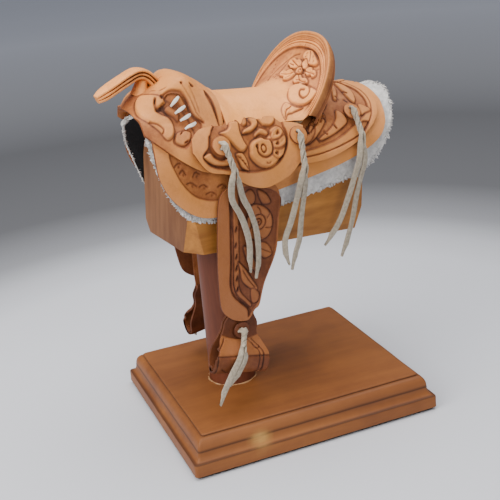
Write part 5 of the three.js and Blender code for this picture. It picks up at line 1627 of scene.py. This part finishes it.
def build_stirrup(side_name, side):
    body = f"stirrup_assembly_{side_name}"
    for name, args in ((f"stirrup_{side_name}", (0, 1.5, 0, 1, 300, 120, tool_stirrup)),
                       (f"stirrup_tread_{side_name}", (-1.7, 1.2, 0.42, 0.62, 40, 60, plain_tread))):
        grid, base, stain_and_shade = stirrup_band(*args)
        points, faces, values = slab(grid, args[1], stain_and_shade, -1, base)
        points = to_world(hang(points, side, stirrup=True))
        piece = make_object(name, points, facing(faces, side), fender_dye_and_shade, body, values)
        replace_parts(piece, name)


for side_name, side in SIDES:
    build_fender(side_name, side)
    build_stirrup(side_name, side)

# ---------------------------------------------------------------- suede strings

THONG_WIDTH, THONG_THICKNESS = 3.2, 1.3

# (knot top, knot end), then the two tails, on the left side in the saddle frame
STRINGS = {
    "front": (((42.9, -45, 175.8), (46.4, -41, 162)),
              [(45, -42.5, 154), (44.2, -41.5, 146), (43.4, -37, 138), (42.8, -33, 129), (42.4, -30.5, 119),
               (42.2, -31, 103.5)],
              [(45, -37.6, 154), (44.2, -35, 146), (43.4, -30.5, 138), (42.8, -26.5, 127), (42.4, -25, 113),
               (42.2, -25.5, 99.5)]),
    "mid": (((42.6, 1, 176.8), (46.3, 2, 159)),
            [(43.6, 0.4, 148), (42.3, -1.2, 139), (41.9, -4.5, 127), (41.6, -7.6, 118), (41.6, -7, 108),
             (41.6, -5.6, 103)],
            [(43.6, 3.8, 148), (42.3, 3.4, 139), (41.9, 2.4, 127), (41.6, 1.6, 117), (41.6, -0.8, 109),
             (41.6, -2, 100)]),
    "rear": (((32.9, 42, 185.3), (40.2, 43.5, 171.7)),
             [(41, 41.5, 158), (40.2, 39.2, 149), (39.4, 35.6, 136), (38.8, 32, 126), (38.2, 27, 117),
              (37.8, 20.5, 110)],
             [(41, 45.4, 158), (40.2, 43.8, 149), (39.4, 41.2, 136), (38.8, 39.2, 122), (38.2, 36.6, 111),
              (37.8, 34, 100.5)]),
    "stirrup": (((42.9, -34.5, 69.5), (46.6, -36, 62)),
                [(48.6, -38.5, 56), (48.9, -41.5, 48), (48.9, -44.5, 39), (48.6, -47.5, 29)],
                [(48.6, -35, 56), (48.9, -37, 50), (48.9, -39, 45), (48.6, -41.5, 39.5)]),
}


def build_thong(name, node, body, side, slot_point, knot, tail, phase, stirrup):
    """One flat thong: out of its slot, twisted round its partner, then hanging free."""
    top, end = (np.array(p, float) for p in knot)
    axis = (end - top) / np.linalg.norm(end - top)
    outward = np.array([1.0, 0, 0.25])
    outward -= (outward @ axis) * axis
    outward /= np.linalg.norm(outward)
    sideways = np.cross(axis, outward)
    turns = 1.25
    t = np.linspace(0, 1, 26)
    angle = phase + turns * 2 * math.pi * t
    radial = np.cos(angle)[:, None] * outward + np.sin(angle)[:, None] * sideways
    twist = lerp(top, end, t[:, None]) + 0.85 * radial
    start = np.array(slot_point, float)
    lead = open_curve(np.array([start - outward * 0.6, start + outward * 1.5, twist[0]]), 5)[:-1]
    free = open_curve(np.array([twist[-1], *tail]), 12)[1:]
    line = np.concatenate([lead, twist, free])
    flat = np.concatenate([np.repeat(outward[None], len(lead), 0), radial,
                           np.repeat(radial[-1:], len(free), 0)])
    # after the knot the strap's face turns back outwards
    settle = smooth(np.arange(len(free)), 0, 10)[:, None]
    flat[-len(free):] = lerp(radial[-1], np.array([1.0, -0.15 * math.cos(phase), 0.1]), settle)
    run = np.concatenate([[0], np.cumsum(np.linalg.norm(np.diff(line, axis=0), axis=1))])
    to_tip = run[-1] - run
    half = np.full(len(line), THONG_WIDTH / 2)
    pinch = 1 - 0.35 * np.exp(-(((run - run[len(lead) + 13]) / 7) ** 2))
    left = half * pinch * (1 + 0.07 * np.sin(run / 3.7 + phase))
    right = half * pinch * (1 + 0.07 * np.sin(run / 4.3 + 2 * phase))
    slant = np.clip(to_tip / 7.5, 0, 1)
    if math.cos(phase) > 0:
        right = np.minimum(right, lerp(-left * 0.8, right, slant))
    else:
        left = np.minimum(left, lerp(-right * 0.8, left, slant))
    rings = strip(line, flat, THONG_WIDTH, THONG_THICKNESS, left, right)
    points, faces = loft(rings)
    points = hang(points, side, True) if stirrup else points * np.array([side, 1, 1])
    middle = hang(line, side, True) if stirrup else line * np.array([side, 1, 1])
    thong = make_object(name, to_world(points), facing(faces, side), suede, body, sharp=50)
    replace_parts(thong, node)


def build_strings():
    for side_name, side in SIDES:
        for where, (knot, *tails) in STRINGS.items():
            stirrup = where == "stirrup"
            body = f"stirrup_assembly_{side_name}" if stirrup else ROOT
            if stirrup:
                centre = np.array([39.6, *STIRRUP_PIVOT])
                slots = [centre + np.array([0, dy, 0]) for dy in (-1.7, 1.7)]
                if side < 0:
                    tails = [tail[:-1] for tail in tails]
            else:
                axes, origin = on_form(*CONCHOS[where])
                slots = [origin + axes @ np.array([dx, 0, 1.0]) for dx in (-1.7, 1.7)]
            for k, tail in enumerate(tails):
                name = f"string_{where}_{side_name}_{'ab'[k]}"
                build_thong(name, f"string_{where}_{side_name}", body, side, slots[k], knot, tail,
                            math.pi * k, stirrup)


build_strings()

# ---------------------------------------------------------------- floor and light


def build_stage():
    """Floor painted with light and shade: pale round the stand, a dark band further out, pale again in the
    distance; soft lights and a grey world.
    """
    material, nodes, links, shader = new_material("floor", 0.8)
    place = nodes.new("ShaderNodeTexCoord").outputs["Object"]
    length = nodes.new("ShaderNodeVectorMath")
    length.operation = "LENGTH"
    links.new(place, length.inputs[0])
    far = math_node(nodes, links, "DIVIDE", length.outputs["Value"], 2.5)
    # painted light and shade: the floor's brightness is set by distance from the stand
    shades = [(0.0, 0.66), (0.1, 0.62), (0.12, 0.5), (0.14, 0.28), (0.18, 0.14), (0.3, 0.16), (0.45, 0.42),
              (0.7, 0.85), (0.9, 0.9)]
    tint = [(at, (0.95 * v, 0.975 * v, 1.06 * v)) for at, v in shades]
    links.new(ramp(nodes, links, far, tint), shader.inputs["Base Color"])
    shader.inputs["Specular IOR Level"].default_value = 0.1
    size = 4.0
    mesh = bpy.data.meshes.new("floor")
    mesh.from_pydata([(-size, -size, 0), (size, -size, 0), (size, size, 0), (-size, size, 0)], [],
                     [(0, 1, 2, 3)])
    mesh.materials.append(material)
    floor = bpy.data.objects.new("floor", mesh)
    bpy.context.scene.collection.objects.link(floor)
    world = bpy.data.worlds.new("studio")
    world.use_nodes = True
    world.node_tree.nodes["Background"].inputs["Color"].default_value = (0.46, 0.48, 0.53, 1)
    world.node_tree.nodes["Background"].inputs["Strength"].default_value = 0.5
    bpy.context.scene.world = world
    for name, place, size, power, color in (
        ("key", (0.24, -0.64, 0.55), 0.7, 7.6, (1.0, 0.97, 0.92)),
        ("top", (-0.05, 0.05, 0.9), 0.9, 11.0, (1.0, 0.98, 0.95)),
        ("side", (0.78, 0.05, 0.4), 0.5, 2.0, (1.0, 0.98, 0.95)),
    ):
        light = bpy.data.lights.new(name, "AREA")
        light.shape = "DISK"
        light.size = size
        light.energy = power
        light.color = color
        lamp = bpy.data.objects.new(name, light)
        lamp.location = place
        aim = Vector((0, 0, 0.12)) - Vector(place)
        lamp.rotation_euler = aim.to_track_quat("-Z", "Y").to_euler()
        bpy.context.scene.collection.objects.link(lamp)


build_stage()
